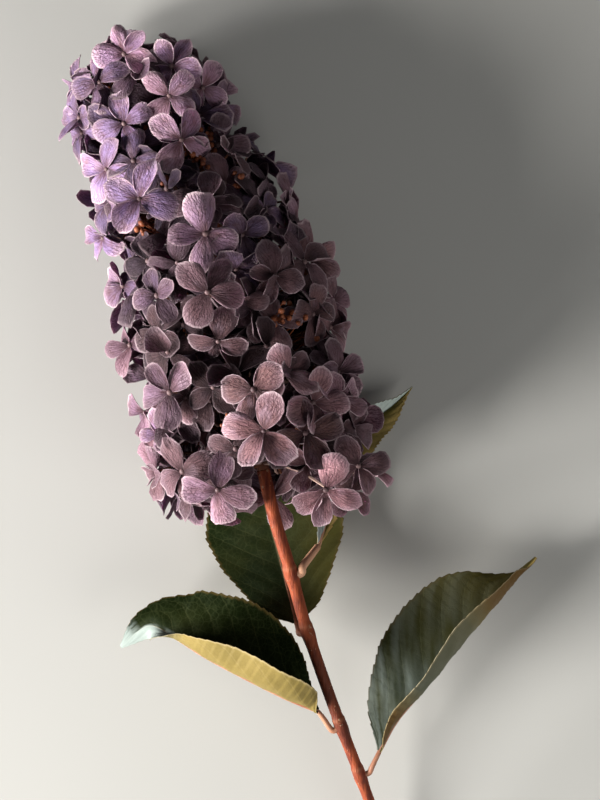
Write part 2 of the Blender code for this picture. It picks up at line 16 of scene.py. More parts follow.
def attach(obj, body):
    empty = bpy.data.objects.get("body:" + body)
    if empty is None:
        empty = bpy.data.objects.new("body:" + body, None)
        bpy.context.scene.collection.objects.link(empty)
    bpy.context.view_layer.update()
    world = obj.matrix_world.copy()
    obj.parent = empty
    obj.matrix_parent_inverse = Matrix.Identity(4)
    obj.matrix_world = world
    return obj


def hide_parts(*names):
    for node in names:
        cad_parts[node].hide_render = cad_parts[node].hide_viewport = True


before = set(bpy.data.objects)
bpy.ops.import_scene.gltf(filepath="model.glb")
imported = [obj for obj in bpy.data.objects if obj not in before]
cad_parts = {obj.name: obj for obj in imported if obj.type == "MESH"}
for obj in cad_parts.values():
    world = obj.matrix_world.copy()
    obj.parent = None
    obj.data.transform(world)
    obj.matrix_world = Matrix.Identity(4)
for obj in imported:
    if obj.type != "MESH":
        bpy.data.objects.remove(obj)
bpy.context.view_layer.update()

MM = 0.001
ORIGIN = np.array((14.85, 5.4, 0.0))
UP = np.array((0.0, 0.0, 1.0))

# Seeds of the random draws
SEEDS = {"placed": 100, "ruled": 7, "inner": 31, "petals": 500, "inner petals": 900, "stalks": 76,
         "knobs": 77, "buds": 78, "leaves": 40}

# Camera, and place, aim, size, power and colour of each light, with places and sizes in metres
CAMERA_PLACE = (-0.00085, 0.0266, 1.545)
CAMERA_LENS = 168.75
SENSOR_WIDTH = 36
WORLD_COLOUR = (0.88, 0.93, 1)
WORLD_STRENGTH = 0.075
LIGHTS = {
    "key": ((-1.1, -0.58, 0.56), (0, 0.02, 0.03), 0.6, 35, (1, 0.98, 0.96)),
    "rim": ((-1.4, -0.15, 0.22), (0, 0.05, 0.04), 0.35, 32, (1, 0.98, 0.98)),
    "fill": ((0.85, -0.7, 0.75), (0, 0, 0.02), 1, 7, (1, 0.99, 0.97)),
}
FLOOR_HALF = 4

# Head, as in the part's source
HEAD_LENGTH = 180
HEAD_LEAN = (
    (0, 0), (36, 6.5), (72, 16), (92, 22), (110, 29), (122, 36), (133, 41.5), (146, 45.5), (160, 48),
    (180, 49),
)
HEAD_RADIUS = (
    (0, 43), (36, 41.8), (72, 39.4), (92, 37.7), (110, 35.3), (122, 31.5), (133, 28.5), (146, 27.5),
    (160, 27), (180, 25.5),
)
DOME_START = 0.84
BELLY_GAP = 1.5
CORE_START = 4
STALK_DROP = 9
RULED_LENGTH = 16
RULED_DEPTH = (-3, 2)
FRONT_SINK = 4
RULED_SPACING = 21.5
PLACED_SPACING = 17.6
RULED_STEPS = 760
RULED_START = -0.04
RULED_END = 0.955
OUTWARD_SHARE = 0.55
STEM_CORRIDOR = 12
CORRIDOR_END = 4
LEAF_GAP = (40, 26, 50)
LEAF_GAP_REACH = 13
LIFTS = (0, 2.5, 5, 7.5)
SOLID_THICKNESS = 0.7
HULL_CORNERS = 12
REST_REACH = 1.6
GOLDEN_ANGLE = radians(137.508)
CLEARANCE = 1

# Stem
STEM_TOP_RADIUS = 2.6
STEM_END_RADIUS = 2.1
STEM_LENGTH = 170
STEM_ARCH = 0.4 * pi
STEM_PATH = (
    (52.5, -170), (47, -146), (38.8, -122), (32, -104), (24, -82), (16, -58), (10, -36), (4, -16), (0, 0),
)
NODE_SWELL = 0.5
NODE_REACH = 3.5

# Florets that show at the front: place seen from above, petal length, directions of the petals that show, how
# far the floret is turned to the right and towards the tip, and how far it stands out
FRONT_FLORETS = (
    (-56, 170, 12.5, (38, 110, 183, 333), 0, 5, 3), (-66, 159, 12.5, (30, 105, 200, 280), -25, 10, 0),
    (-77, 160, 13, (95, 190, 260, 20), -50, 0, -4), (-37, 165, 12, (115, 58, 350, 220), -22, -8, 2),
    (-25, 157, 12, (60, 150, 240, 330), -8, -10, 1), (-18, 151, 11, (15, 325, 100), 25, 0, -3),
    (-38, 153, 12, (140, 325), 10, -20, 0), (-56, 142, 13, (105, 30), -10, -10, -2),
    (-75, 146, 13, (165, 100), -45, 0, 0), (-74, 140, 12.5, (180, 100), -55, -10, 0),
    (-33, 135, 14, (145, 340, 50, 240), 5, -10, 4), (-52, 127, 13, (100, 350, 190, 270), -10, 0, -2),
    (-49, 111, 14.5, (75, 157, 243, 345), -10, -5, 6), (-63, 124, 14, (160, 80, 250, 330), -40, 0, 1),
    (-62, 110, 13, (165,), -45, 0, -3), (-65, 97, 13, (165, 230), -30, -10, 0),
    (-23, 97, 15, (105, 185, 262, 335), 5, 0, 5), (-22, 74, 15.5, (135, 60, 355, 245), 0, 0, 6),
    (-18, 55, 12, (75, 180, 350), 0, -50, -4), (4, 81, 12, (107, 175, 245, 340), 15, 0, -1),
    (17, 90, 15.5, (15, 325, 250, 100), 18, -5, 0), (-9, 97, 12.5, (125, 30, 285, 210), 10, 0, -5),
    (0, 107, 11, (345, 60, 150, 250), 25, 30, -4), (-23, 110, 15, (175, 355, 85, 265), 0, 55, -4),
    (-19, 134, 13, (80, 285, 0, 180), 5, -5, -1), (-4, 119, 11, (120, 55), 20, 40, -3),
    (8, 112, 12, (10, 100), 55, 10, -2), (11, 101, 12, (0, 90), 45, 0, -4),
    (-57, 78, 13, (60, 140, 220, 330), -30, 0, -1), (-42, 73, 11, (105, 20, 200, 300), -25, 10, 3),
    (-41, 59, 12, (110, 45), -25, 15, -5), (-54, 54, 13.5, (125, 200, 265, 20), -35, 0, 1),
    (-38, 51, 13.5, (15, 325), 0, -45, -3), (-37, 35, 14, (120, 55, 190, 265), -15, 0, 3),
    (-48, 27, 12.5, (200, 140), -45, 0, 0), (-41, 19, 9.5, (100, 190, 250, 315), -10, 0, -3),
    (-45, 9, 13.5, (170,), -40, -10, -6), (-43, 3, 12, (205, 285), -50, -30, -3),
    (-32, 4, 15, (215, 275), -20, -10, 0), (-18, -3, 14.5, (82, 172, 268, 340), -15, -15, 4),
    (-25, -8, 11.5, (255,), -10, -20, -6), (-11, 13, 12, (255,), 0, -15, -2),
    (0, 20, 15.5, (72, 168, 240, 312), -18, -10, 7), (-4, 36, 13.5, (38, 178, 250, 325), -5, 0, 4),
    (8, 42, 13.5, (115, 35, 335, 225), 5, 5, -4), (19, 31, 14, (75, 0, 200, 270), 20, 0, -3),
    (29, 33, 13.5, (28, 328, 260, 130), 25, 0, 0), (29, 43, 13.5, (97, 30, 200, 300), 40, 5, 0),
    (26, 61, 13.5, (350, 60, 300), 35, 5, -2), (19, 66, 13, (85, 170, 270, 15), 35, 0, -3),
    (37, 6, 13, (125, 5, 295, 205), -5, -10, 0), (24, -3, 14, (70, 205, 262, 335), -15, -16, 5),
    (34, -4, 12, (310,), 15, -15, -3), (16, 19, 15, (295, 15), 10, 0, -3),
    (-46, 87, 12, (200,), -10, 0, -6), (-34, 86, 12, (90,), 0, -60, 0),
    (-16, 118, 12, (30,), 0, 40, -5), (27, 72, 12, (20,), 40, 10, 0),
    (-31, 33, 11, (10,), 0, 0, -7), (4, 62, 12, (20, 110, 200, 290), 10, 25, -7),
    (-9, 71, 11, (0, 90, 180, 270), 10, 0, -6), (-20, 37, 12, (40, 130, 220, 310), -10, 0, -7),
    (17, 7, 12, (60, 150, 240, 330), 15, -35, -12),
)

# Leaves, as in the part's source

# Shares of a half blade's full width, from the leaf's base to its tip
BROAD_AT_BASE = (
    (0, 0.03), (0.08, 0.31), (0.167, 0.63), (0.25, 0.85), (0.333, 0.96), (0.42, 1), (0.5, 0.98),
    (0.583, 0.89), (0.667, 0.745), (0.75, 0.55), (0.833, 0.25), (0.917, 0.15), (1, 0.02),
)
FOLDED_AT_BASE = (
    (0, 0.05), (0.08, 0.68), (0.167, 0.96), (0.25, 1), (0.333, 0.99), (0.42, 0.88), (0.5, 0.72), (0.6, 0.42),
    (0.667, 0.22), (0.72, 0.18), (0.833, 0.21), (0.917, 0.14), (1, 0.02),
)
BROAD_IN_MIDDLE = (
    (0, 0.04), (0.1, 0.3), (0.25, 0.62), (0.4, 0.88), (0.55, 1), (0.7, 0.87), (0.8, 0.63), (0.88, 0.36),
    (0.94, 0.15), (1, 0.02),
)
BROAD_NEAR_TIP = (
    (0, 0.03), (0.08, 0.25), (0.167, 0.54), (0.25, 0.77), (0.333, 0.93), (0.42, 0.99), (0.5, 1),
    (0.583, 0.96), (0.667, 0.87), (0.75, 0.66), (0.833, 0.3), (0.9, 0.08), (1, 0.02),
)
BROAD_FOOT = (
    (0, 0.05), (0.06, 0.4), (0.12, 0.6), (0.2, 0.68), (0.4, 0.88), (0.55, 1), (0.7, 0.87), (0.8, 0.63),
    (0.88, 0.36), (0.94, 0.15), (1, 0.02),
)

# Shares of a half blade's full fold, from the leaf's base to its tip
OPEN_AT_ENDS = ((0, 0), (0.167, 1), (0.833, 1), (1, 0))
FOLDED_TO_BASE = ((0, 0.6), (0.05, 1), (0.9, 1), (1, 0.5))
OPEN_AT_TIP = ((0, 0.6), (0.05, 1), (0.62, 1), (0.667, 0.9), (0.72, 0.45), (0.77, 0.1), (0.8, 0), (1, 0))
OPEN_AT_BASE = ((0, 0), (0.1, 0.1), (0.2, 0.45), (0.35, 1), (1, 1))

LEAVES = (
    {"name": "leaf_left", "node": -100.5, "side": (-0.93, -0.34, 0.1),
     "stalk": ((23.5, -97, 25.5),),
     "rib": ((21.2, -94, 26), (8, -88.4, 28.5), (-8.8, -80, 30.5), (-24, -72, 30.5), (-37.2, -64, 28),
             (-47.6, -59.6, 24.5), (-58.8, -68.4, 19)),
     "left": (28, FOLDED_AT_BASE, (90, 136), OPEN_AT_TIP),
     "right": (29, BROAD_AT_BASE, (-4, 10), OPEN_AT_ENDS)},
    {"name": "leaf_back", "node": -62, "side": (-0.9, -0.05, -0.42),
     "stalk": ((13.2, -60.3, 30.6),),
     "rib": ((12.4, -58, 28.5), (10.8, -52, 24.5), (7.6, -40, 17), (4.4, -28, 10.5), (1.2, -16, 6.2),
             (-1.2, -6, 3.8), (-4, 4, 2.5), (-6, 13, 1.6)),
     "left": (27.5, BROAD_IN_MIDDLE, (-4, -8), OPEN_AT_ENDS),
     "right": (31.5, BROAD_IN_MIDDLE, (8, 2), OPEN_AT_ENDS)},
    {"name": "leaf_upper_right", "node": -38.5, "side": (0.93, 0.3, -0.1), "stalk_radius": 1.5,
     "stalk": ((15, -35, 39), (18.6, -30.5, 32)),
     "rib": ((21.6, -27, 23.5), (27, -12, 13), (31.5, 3, 7.5), (37.5, 16, 5), (45, 24.5, 4.5),
             (52.5, 30.5, 5), (60, 37.5, 7)),
     "left": (7.5, BROAD_FOOT, (40, 50), OPEN_AT_BASE),
     "right": (9.5, BROAD_IN_MIDDLE, (18, 28), OPEN_AT_ENDS)},
    {"name": "leaf_right", "node": -121, "side": (0.94, 0.33, 0),
     "stalk": ((43.4, -117, 19.5),),
     "rib": ((46.4, -110.8, 19.5), (53.5, -98, 21.5), (65.5, -84, 23.5), (77.5, -69, 24), (89, -55.5, 22),
             (99, -44.5, 18), (110.4, -32.4, 12)),
     "left": (27.6, BROAD_NEAR_TIP, (6, -4), OPEN_AT_ENDS),
     "right": (25, BROAD_IN_MIDDLE, (86, 122), FOLDED_TO_BASE)},
)

# Fertile buds: place of the clusters that show and their depth under the florets, and how all are spread
BUD_SPOTS = (
    (-27, 131, 1.5), (-23, 135, 1.5), (-25, 127, 3), (9, 67, 4), (13, 63, 5), (5, 63, 6), (15, 22, 6),
    (-12, 22, 7), (-54, 124, 7), (-47, 100, 7),
)
BUD_CLEARING = 9
HIDDEN_CLUSTERS = 80
CLUSTER_STRETCH = (6, 165)
CLUSTER_DEPTH = (0.55, 0.84)
CLUSTER_COUNT = (6, 11)
CLUSTER_SCATTER = 2.2
BUD_RADII = (0.8, 1.45)
BUD_SQUASH = (0.8, 1.25)
BUD_STALK = 8
BUD_STALK_RADIUS = 0.3
LOWEST_BUD = 4

# Brown florets, darkened partly as painted shade in the head's hollows: place seen from above, reach, and
# strength
BROWN_AND_SHADE_SPOTS = (
    (-20, 128, 14, 0.7), (8, 64, 14, 0.8), (-10, 28, 15, 0.9), (14, 20, 13, 0.9), (-8, 44, 12, 0.7),
    (-26, 62, 13, 0.7), (12, 78, 12, 0.6), (-14, 110, 11, 0.6), (-32, 88, 12, 0.7), (-38, 54, 9, 0.7),
    (-40, 84, 9, 0.6),
)

# How rosy the petals are, by the distance from the head's foot: violet in the upper middle, rosy at the foot
ROSINESS = ((0, 1), (40, 0.9), (70, 0.45), (95, 0.15), (130, 0.1), (150, 0.3), (180, 0.45))

# How bright florets and petals are, painted shade on ruled front florets, how many dry, and how much brown takes
# off
FLORET_TONES = (0.58, 1.3)
PETAL_TONES = (0.72, 1.28)
RULED_SHADE = 0.82
DRIED_CHANCE = 0.12
DRIED_STRENGTH = 0.45
BROWN_SHADE = 0.6

# Painted light: florets made brighter than the others: place seen from above, reach, and how much brighter they
# are
PAINTED_LIGHT_SPOTS = (
    (0, 20, 8, 1.4), (12, 17, 6, 0.6), (22, 20, 8, 0.6), (10, 45, 6, 0.6), (24, -3, 8, 0.3), (4, 87, 6, 0.6),
    (-23, 97, 7, 0.45), (-50, 109, 8, 0.7), (-63, 124, 6, 0.3), (-34, 135, 6, 0.45), (-56, 168, 12, 0.6),
    (-38, 164, 12, 0.9), (-33, 118, 6, 0.5), (-22, 157, 8, 0.5),
)

# Painted shade: where the florets are darkened, in the same terms
PAINTED_SHADE_SPOTS = (
    (-44, 88, 14, 0.8), (-25, 85, 9, 0.4), (-45, 62, 14, 0.75), (-24, 56, 10, 0.5), (-20, 36, 12, 0.6),
    (-15, 15, 9, 0.55), (34, 6, 8, 0.5), (-5, 51, 9, 0.3), (-22, 73, 8, 0.42), (-20, 4, 8, 0.25),
    (-27, -9, 9, 0.4), (-45, 122, 8, 0.55), (6, 104, 20, 0.3), (-72, 150, 8, 0.2),
)

# Fine inner layers of florets: tries, share of the head's radius, least distance apart, petal lengths, how
# much their facing varies, and how bright they are, darker as painted shade since they lie deeper in the head
INNER_LAYERS = ((620, 0.86, 12.5, (11, 14.5), 0.55, 0.5), (420, 0.66, 13.5, (10.5, 13), 0.35, 0.3))

# Where they end on the head, the start of their spiral, their depth, and where the stem is kept in view
INNER_END = 0.96
INNER_TURN = 0.7
INNER_DEPTH = (-2, 2)
INNER_CORRIDOR_END = 15

# A tone that a leaf has nowhere along its length
NOWHERE = ((0, 0), (1, 0))

# How far a leaf's upper face turns olive, or darkens as painted shade below zero, on its left half, on its right
# half and at its tip, with a bright olive past 0.9 as painted light; and tables of the painted pale reflection on
# the left and the right half, from the base to the tip
LEAF_TONES = {
    "leaf_left": ((-0.6, -1, 0), ((0, 0), (0.58, 0), (0.66, 0.46), (0.8, 0.5), (1, 0.6)),
                  ((0, 0), (0.87, 0), (0.91, 0.46), (1, 0.6))),
    "leaf_back": ((-0.6, 0.45, 0), NOWHERE, NOWHERE),
    "leaf_upper_right": ((0.3, 2, 0), ((0, 0.95), (1, 0.95)), NOWHERE),
    "leaf_right": ((0.14, 0.45, 1.05), ((0, 0.42), (0.25, 0.3), (0.5, 0.12), (0.8, 0.07), (1, 0.06)),
                   ((0, 0), (0.25, 0.1), (0.45, 0.28), (0.65, 0.22), (0.8, 0), (1, 0))),
}

# The same for the lower faces: how brown they are, partly painted shade on leaf_right's folded half, and how
# pale, from the base to the tip
UNDER_TONES = {
    "leaf_left": (((0, 0.1), (1, 0.1)), ((0, 0), (0.6, 0), (0.75, 0.8), (1, 0.8))),
    "leaf_back": (((0, 0.5), (1, 0.5)), NOWHERE),
    "leaf_upper_right": (((0, 0.7), (1, 0.7)), NOWHERE),
    "leaf_right": (((0, 1), (0.2, 0.9), (0.33, 0.1), (0.6, 0.1), (0.7, 0.9), (1, 1)),
                   ((0, 0), (0.2, 0), (0.33, 0.9), (0.58, 0.7), (0.68, 0), (1, 0))),
}

# How pale a leaf's stalk is
PALE_STALKS = {"leaf_upper_right": 0.8, "leaf_right": 0.15}

# Stalks in the head and of the leaves: dark, light and pale colour, scales of the patches and of the grain,
# strength of the grain, roughness and shine
TWIGS = {
    "stalk": ((0.12, 0.04, 0.025), (0.27, 0.11, 0.06), (0.52, 0.36, 0.3), 160, 1200, 0.4, 0.6, 0.3),
    "petiole": ((0.34, 0.12, 0.065), (0.44, 0.21, 0.12), (0.66, 0.36, 0.22), 90, 900, 0.3, 0.5, 0.4),
}

# Dark and light colour of the florets' knobs and of the fertile buds
BEADS = {"knob": ((0.07, 0.035, 0.04), (0.2, 0.12, 0.12)), "bead": ((0.12, 0.028, 0.012), (0.36, 0.105, 0.04))}

# Petals: pieces that hold them, cells, outline, pitch and tilt in degrees, thickness, cup, fold, roll, rise, bend
# and curl as shares of their length, and how far neighbours stand apart
FLORET_PIECES = 6
PETAL_CELLS = 12
INNER_CELLS = 8
PETAL_SPREAD = 0.965
PETAL_SQUARE = 2.3
PETAL_PITCH = 15
PETAL_TILT = 12
PETAL_THICKNESS = 0.28
PETAL_CUP = (-0.6, 0.7)
PETAL_FOLD = (0.8, 1.2)
FOLD_CHANCE = 0.17
PETAL_ROLL = (-0.3, 0.3)
PETAL_RISE = (0, 0.34)
PETAL_BEND = (0, 0.5)
PETAL_CURL = (-0.1, 0.12)
PAIR_GAP = 0.42

# How much the petals of placed florets and of the others differ
PLACED_VARY = 0.65
RULED_VARY = 1.1

# How softly petals, stalks and leaves are eased up from the surface, and how far they stay over it
REST_SOFTNESS = 0.5
REST_GAP = 0.2

# Stalks and knobs in the head
AXIS_RADII = (2.5, 0.9)
AXIS_STATIONS = 30
STALK_RADII = (0.8, 0.38)
STALK_STATIONS = 9
KNOB_RADII = (1, 1.35)
KNOB_SQUASH = 0.8

# Leaves: cells, thickness, teeth, side veins with the quilting between them, and stalks and ribs
LEAF_STATIONS = 200
LEAF_CELLS = 11
LEAF_THICKNESS = 0.5
LEAF_TEETH = 30
LEAF_TOOTH = 0.8
LEAF_VEINS = 9
LEAF_QUILT = 0.55
VEIN_LEAN = 0.18
VEIN_BEND = 0.08
LEAF_LIFT = 0.3
LEAF_STALK_RADII = (1.35, 0.95)
LEAF_STALK_STATIONS = 24
RIB_RADII = (0.9, 0.16)
RIB_DEPTH = 0.35
RIB_STEP = 4

# Stem: cells, the ring and the groove at each joint, and how dark the bark is, from the cut end to the head
STEM_STATIONS = 420
STEM_SIDES = 20
JOINT_PLACE = 3.2
JOINT_SWELL = 0.16
GROOVE_PLACE = 5.2
GROOVE_DEPTH = 0.1
JOINT_REACH = 0.8
STEM_DARK = (
    (-170, 0.1), (-112, 0.15), (-100, 0.5), (-88, 0.75), (-74, 0.65), (-66, 0.3), (-40, 0.1), (0, 0.15),
)


# Camera and light


def aim(item, target):
    direction = Vector(target) - item.location
    item.rotation_euler = direction.to_track_quat("-Z", "Y").to_euler()


def put_in_scene(name, data):
    item = bpy.data.objects.new(name, data)
    bpy.context.scene.collection.objects.link(item)
    return item


def make_camera():
    data = bpy.data.cameras.new("camera")
    data.sensor_width = SENSOR_WIDTH
    data.lens = CAMERA_LENS
    camera = put_in_scene("camera", data)
    camera.location = CAMERA_PLACE
    bpy.context.scene.camera = camera


def make_light(name, place, target, size, power, colour):
    data = bpy.data.lights.new(name, "AREA")
    data.shape = "DISK"
    data.size = size
    data.energy = power
    data.color = colour
    light = put_in_scene(name, data)
    light.location = place
    aim(light, target)


def make_world(colour, strength):
    world = bpy.data.worlds.new("studio")
    world.use_nodes = True
    background = world.node_tree.nodes["Background"]
    background.inputs["Color"].default_value = (*colour, 1)
    background.inputs["Strength"].default_value = strength
    bpy.context.scene.world = world


# Material nodes


class Paint:
    """A material and short ways to add nodes to it."""

    def __init__(self, name, **constants):
        self.material = bpy.data.materials.new(name)
        self.material.use_nodes = True
        self.tree = self.material.node_tree
        self.shader = self.tree.nodes["Principled BSDF"]
        for key, value in constants.items():
            self.shader.inputs[key.replace("_", " ")].default_value = value

    def put(self, socket, value):
        if isinstance(value, bpy.types.NodeSocket):
            self.tree.links.new(value, socket)
        elif isinstance(value, tuple) and len(value) == 3 and socket.type == "RGBA":
            socket.default_value = (*value, 1)
        else:
            socket.default_value = value

    def node(self, kind, inputs=(), output=0, **settings):
        """An output of a new node, with its inputs linked or set."""
        item = self.tree.nodes.new("ShaderNode" + kind)
        for key, value in settings.items():
            setattr(item, key, value)
        for key, value in dict(inputs).items():
            self.put(item.inputs[key], value)
        return item.outputs[output]

    def calc(self, operation, *values, clamp=False):
        return self.node("Math", enumerate(values), operation=operation, use_clamp=clamp)

    def times(self, a, b):
        return self.calc("MULTIPLY", a, b)

    def scaled(self, value, factor, start):
        """A value times a factor, added to a start."""
        return self.calc("MULTIPLY_ADD", value, factor, start)

    def apart(self, a, b):
        return self.calc("ABSOLUTE", self.calc("SUBTRACT", a, b))

    def ease(self, value, low, high, start=0, end=1):
        """A soft step from start to end, as a value goes from low to high."""
        keys = {"Value": value, "From Min": low, "From Max": high, "To Min": start, "To Max": end}
        return self.node("MapRange", keys, interpolation_type="SMOOTHSTEP")

    def mix(self, share, a, b):
        return self.node("Mix", {0: share, 6: a, 7: b}, 2, data_type="RGBA")

    def layers(self, base, *layers):
        """A base with colours over it, each by its own share."""
        for share, colour in layers:
            base = self.mix(share, base, colour)
        return base

    def lit(self, colour, bright):
        return self.node("HueSaturation", {"Color": colour, "Value": bright})

    def noise(self, vector, scale, detail=3, rough=0.5):
        keys = {"Vector": vector, "Scale": scale, "Detail": detail, "Roughness": rough}
        return self.node("TexNoise", keys, "Fac")

    def net(self, vector, scale):
        """0 on the lines of an irregular net, rising in its cells."""
        keys = {"Vector": vector, "Scale": scale}
        return self.node("TexVoronoi", keys, "Distance", feature="DISTANCE_TO_EDGE")

    def place(self):
        return self.node("TexCoord", output="Object")

    def split(self, vector):
        return self.node("SeparateXYZ", {0: vector}).node.outputs

    def combine(self, x, y, z=0):
        return self.node("CombineXYZ", {0: x, 1: y, 2: z})

    def uv(self):
        return self.split(self.node("UVMap", uv_map="fan"))

    def tint(self):
        return self.split(self.node("Attribute", output="Vector", attribute_name="tint"))

    def set(self, name, value):
        """Sets an input of the material's shader."""
        self.put(self.shader.inputs[name], value)

    def bump(self, height, strength, distance):
        keys = {"Height": height, "Strength": strength, "Distance": distance}
        self.set("Normal", self.node("Bump", keys))


def petal_material():
    paint = Paint("petal", Roughness=0.6, Sheen_Weight=0.12, Sheen_Roughness=0.4, Specular_IOR_Level=0.16,
                  Subsurface_Weight=0.2, Subsurface_Scale=0.0008)
    paint.set("Sheen Tint", (0.55, 0.36, 0.46))
    paint.set("Subsurface Radius", (1, 0.7, 0.9))
    across, along, _ = paint.uv()
    bright, rosy, seed = paint.tint()
    place = paint.place()
    cell = paint.combine(paint.times(across, 1.3), along, seed)
    wobble = paint.scaled(paint.noise(cell, 3.2, 3), 0.26, -0.13)
    fan = paint.times(paint.calc("ADD", across, wobble), 5)
    late = paint.scaled(paint.noise(cell, 4, 1), 0.9, -0.45)
    when = paint.calc("ADD", along, late)
    gap = paint.apart(paint.calc("FRACT", fan), 0.5)
    for start, end, width in ((0.15, 0.6, 0.25), (0.5, 0.95, 0.12)):
        gap = paint.apart(gap, paint.ease(when, start, end, 0, width))
    gap = paint.times(gap, paint.calc("ADD", along, 0.12))
    vein = paint.ease(gap, 0.004, 0.055, 1, 0)
    mesh = paint.ease(paint.net(cell, 11), 0, 0.1, 1, 0)
    vein = paint.calc("ADD", vein, paint.times(mesh, 0.5), clamp=True)
    blotch = paint.ease(paint.noise(cell, 2.2, 3, 0.6), 0.4, 0.72, 0, 0.8)
    flush = paint.ease(paint.noise(cell, 1.6, 2), 0.5, 0.75, 0, 0.6)
    strength = paint.ease(paint.noise(cell, 2.5, 2), 0.3, 0.7, 0.3, 0.72)
    colour = paint.layers(
        paint.mix(rosy, (0.25, 0.172, 0.315), (0.3, 0.158, 0.172)),
        (paint.ease(rosy, 1, 1.9, 0, 0.7), (0.16, 0.07, 0.05)),
        (blotch, (0.165, 0.082, 0.09)),
        (flush, (0.42, 0.28, 0.345)),
        (paint.times(paint.ease(along, 0.65, 1), 0.45), (0.42, 0.285, 0.33)),
        (paint.ease(along, 0, 0.6, 0.9, 0), (0.07, 0.028, 0.03)),
        (paint.times(vein, strength), (0.075, 0.03, 0.042)))
    # Pale patchy edges round each petal: a painted highlight, as if the rims catch the light
    beside = paint.times(paint.apart(across, 0.5), 2)
    rim = paint.calc("MAXIMUM", paint.ease(along, 0.92, 0.98), paint.ease(beside, 0.91, 0.97))
    rim = paint.times(rim, paint.ease(paint.noise(cell, 1.7, 1), 0.35, 0.65, 0.2, 0.75))
    pale = paint.lit((0.66, 0.49, 0.52), paint.scaled(bright, 0.5, 0.42))
    paint.set("Base Color", paint.mix(rim, paint.lit(colour, bright), pale))
    pucker = paint.times(paint.noise(cell, 9, 2), 1.4)
    grain = paint.scaled(paint.noise(place, 900), 0.4, pucker)
    paint.bump(paint.scaled(vein, -0.45, grain), 0.8, 0.0006)
    return paint.material


def twig_material(name, dark, light, pale, patches, grain, relief, rough, shine):
    """Thin bark in patches of two colours, turned pale by the tint."""
    paint = Paint(name, Roughness=rough, Specular_IOR_Level=shine)
    place = paint.place()
    share, _, _ = paint.tint()
    base = paint.mix(paint.ease(paint.noise(place, patches), 0.3, 0.7), dark, light)
    paint.set("Base Color", paint.mix(share, base, pale))
    paint.bump(paint.noise(place, grain), relief, 0.0002)
    return paint.material


def bead_material(name, dark, light):
    """Small round parts between two colours, by the tint of each and by patches."""
    paint = Paint(name, Roughness=0.5, Specular_IOR_Level=0.35)
    place = paint.place()
    patch = paint.ease(paint.noise(place, 220), 0.35, 0.65)
    own, _, _ = paint.tint()
    paint.set("Base Color", paint.mix(paint.scaled(own, 0.6, paint.times(patch, 0.4)), dark, light))
    paint.bump(paint.noise(place, 1500), 0.4, 0.0002)
    return paint.material


def leaf_material():
    paint = Paint("leaf", Roughness=0.55, Specular_IOR_Level=0.13)
    across, along, _ = paint.uv()
    face, olive_or_painted_light, pale = paint.tint()
    place = paint.place()
    square = paint.times(paint.times(across, across), VEIN_BEND)
    arch = paint.scaled(across, VEIN_LEAN, square)
    turn = paint.times(paint.calc("SUBTRACT", along, arch), LEAF_VEINS * pi)
    side_vein = paint.ease(paint.calc("ABSOLUTE", paint.calc("SINE", turn)), 0, 0.2, 1, 0)
    rib = paint.ease(across, 0, 0.035, 1, 0)
    net = paint.ease(paint.net(place, 520), 0, 0.11, 1, 0)
    coarse = paint.ease(paint.net(place, 230), 0, 0.07, 1, 0)
    patch = paint.ease(paint.noise(place, 38, 4), 0.35, 0.68)
    margin = paint.ease(across, 0.94, 1, 0, 0.5)
    # Pale bluish-green streaks where the tint's third channel is high: a painted reflection of the light on the
    # upper face
    streak = paint.combine(paint.times(across, 0.6), paint.times(turn, 0.2))
    streak = paint.ease(paint.noise(streak, 2, 2, 0.45), 0.3, 0.75)
    streak = paint.calc("MAXIMUM", streak, paint.ease(pale, 0.42, 0.5))
    # Upper face: painted shade darkens it below zero; past 0.9 a bright olive is painted light, on
    # leaf_upper_right in the head's shadow
    upper = paint.layers(
        paint.mix(patch, (0.01, 0.017, 0.004), (0.03, 0.034, 0.008)),
        (paint.ease(olive_or_painted_light, -1, 0, 1, 0), (0.0045, 0.0085, 0.001)),
        (paint.ease(olive_or_painted_light, 0, 1, 0, 0.8), (0.125, 0.1, 0.02)),
        (paint.ease(olive_or_painted_light, 0.9, 1.7, 0, 0.9), (0.56, 0.4, 0.13)),
        (paint.times(coarse, 0.1), (0.08, 0.09, 0.035)),
        (paint.times(net, 0.08), (0.08, 0.1, 0.04)),
        (paint.times(side_vein, 0.11), (0.09, 0.095, 0.035)),
        (paint.times(rib, 0.75), (0.22, 0.17, 0.09)),
        (paint.times(pale, streak), (0.56, 0.65, 0.6)),
        (margin, (0.12, 0.08, 0.025)))
    # Lower face: the brown that darkens it is partly painted shade where leaf_right's folded half turns from the
    # light
    under = paint.layers(
        paint.mix(patch, (0.25, 0.188, 0.056), (0.17, 0.13, 0.034)),
        (paint.times(side_vein, 0.2), (0.34, 0.27, 0.12)),
        (paint.times(net, 0.22), (0.15, 0.1, 0.03)),
        (olive_or_painted_light, (0.115, 0.06, 0.014)),
        (pale, (0.085, 0.1, 0.072)),
        (margin, (0.45, 0.36, 0.2)))
    paint.set("Base Color", paint.mix(face, under, upper))
    paint.set("Specular IOR Level", paint.ease(olive_or_painted_light, -0.7, 0, 0.03, 0.14))
    paint.set("Roughness", paint.ease(paint.noise(place, 120), 0.3, 0.7, 0.5, 0.68))
    relief = paint.scaled(net, -0.25, paint.times(coarse, -0.3))
    paint.bump(paint.scaled(side_vein, -0.6, relief), 0.22, 0.00025)
    return paint.material


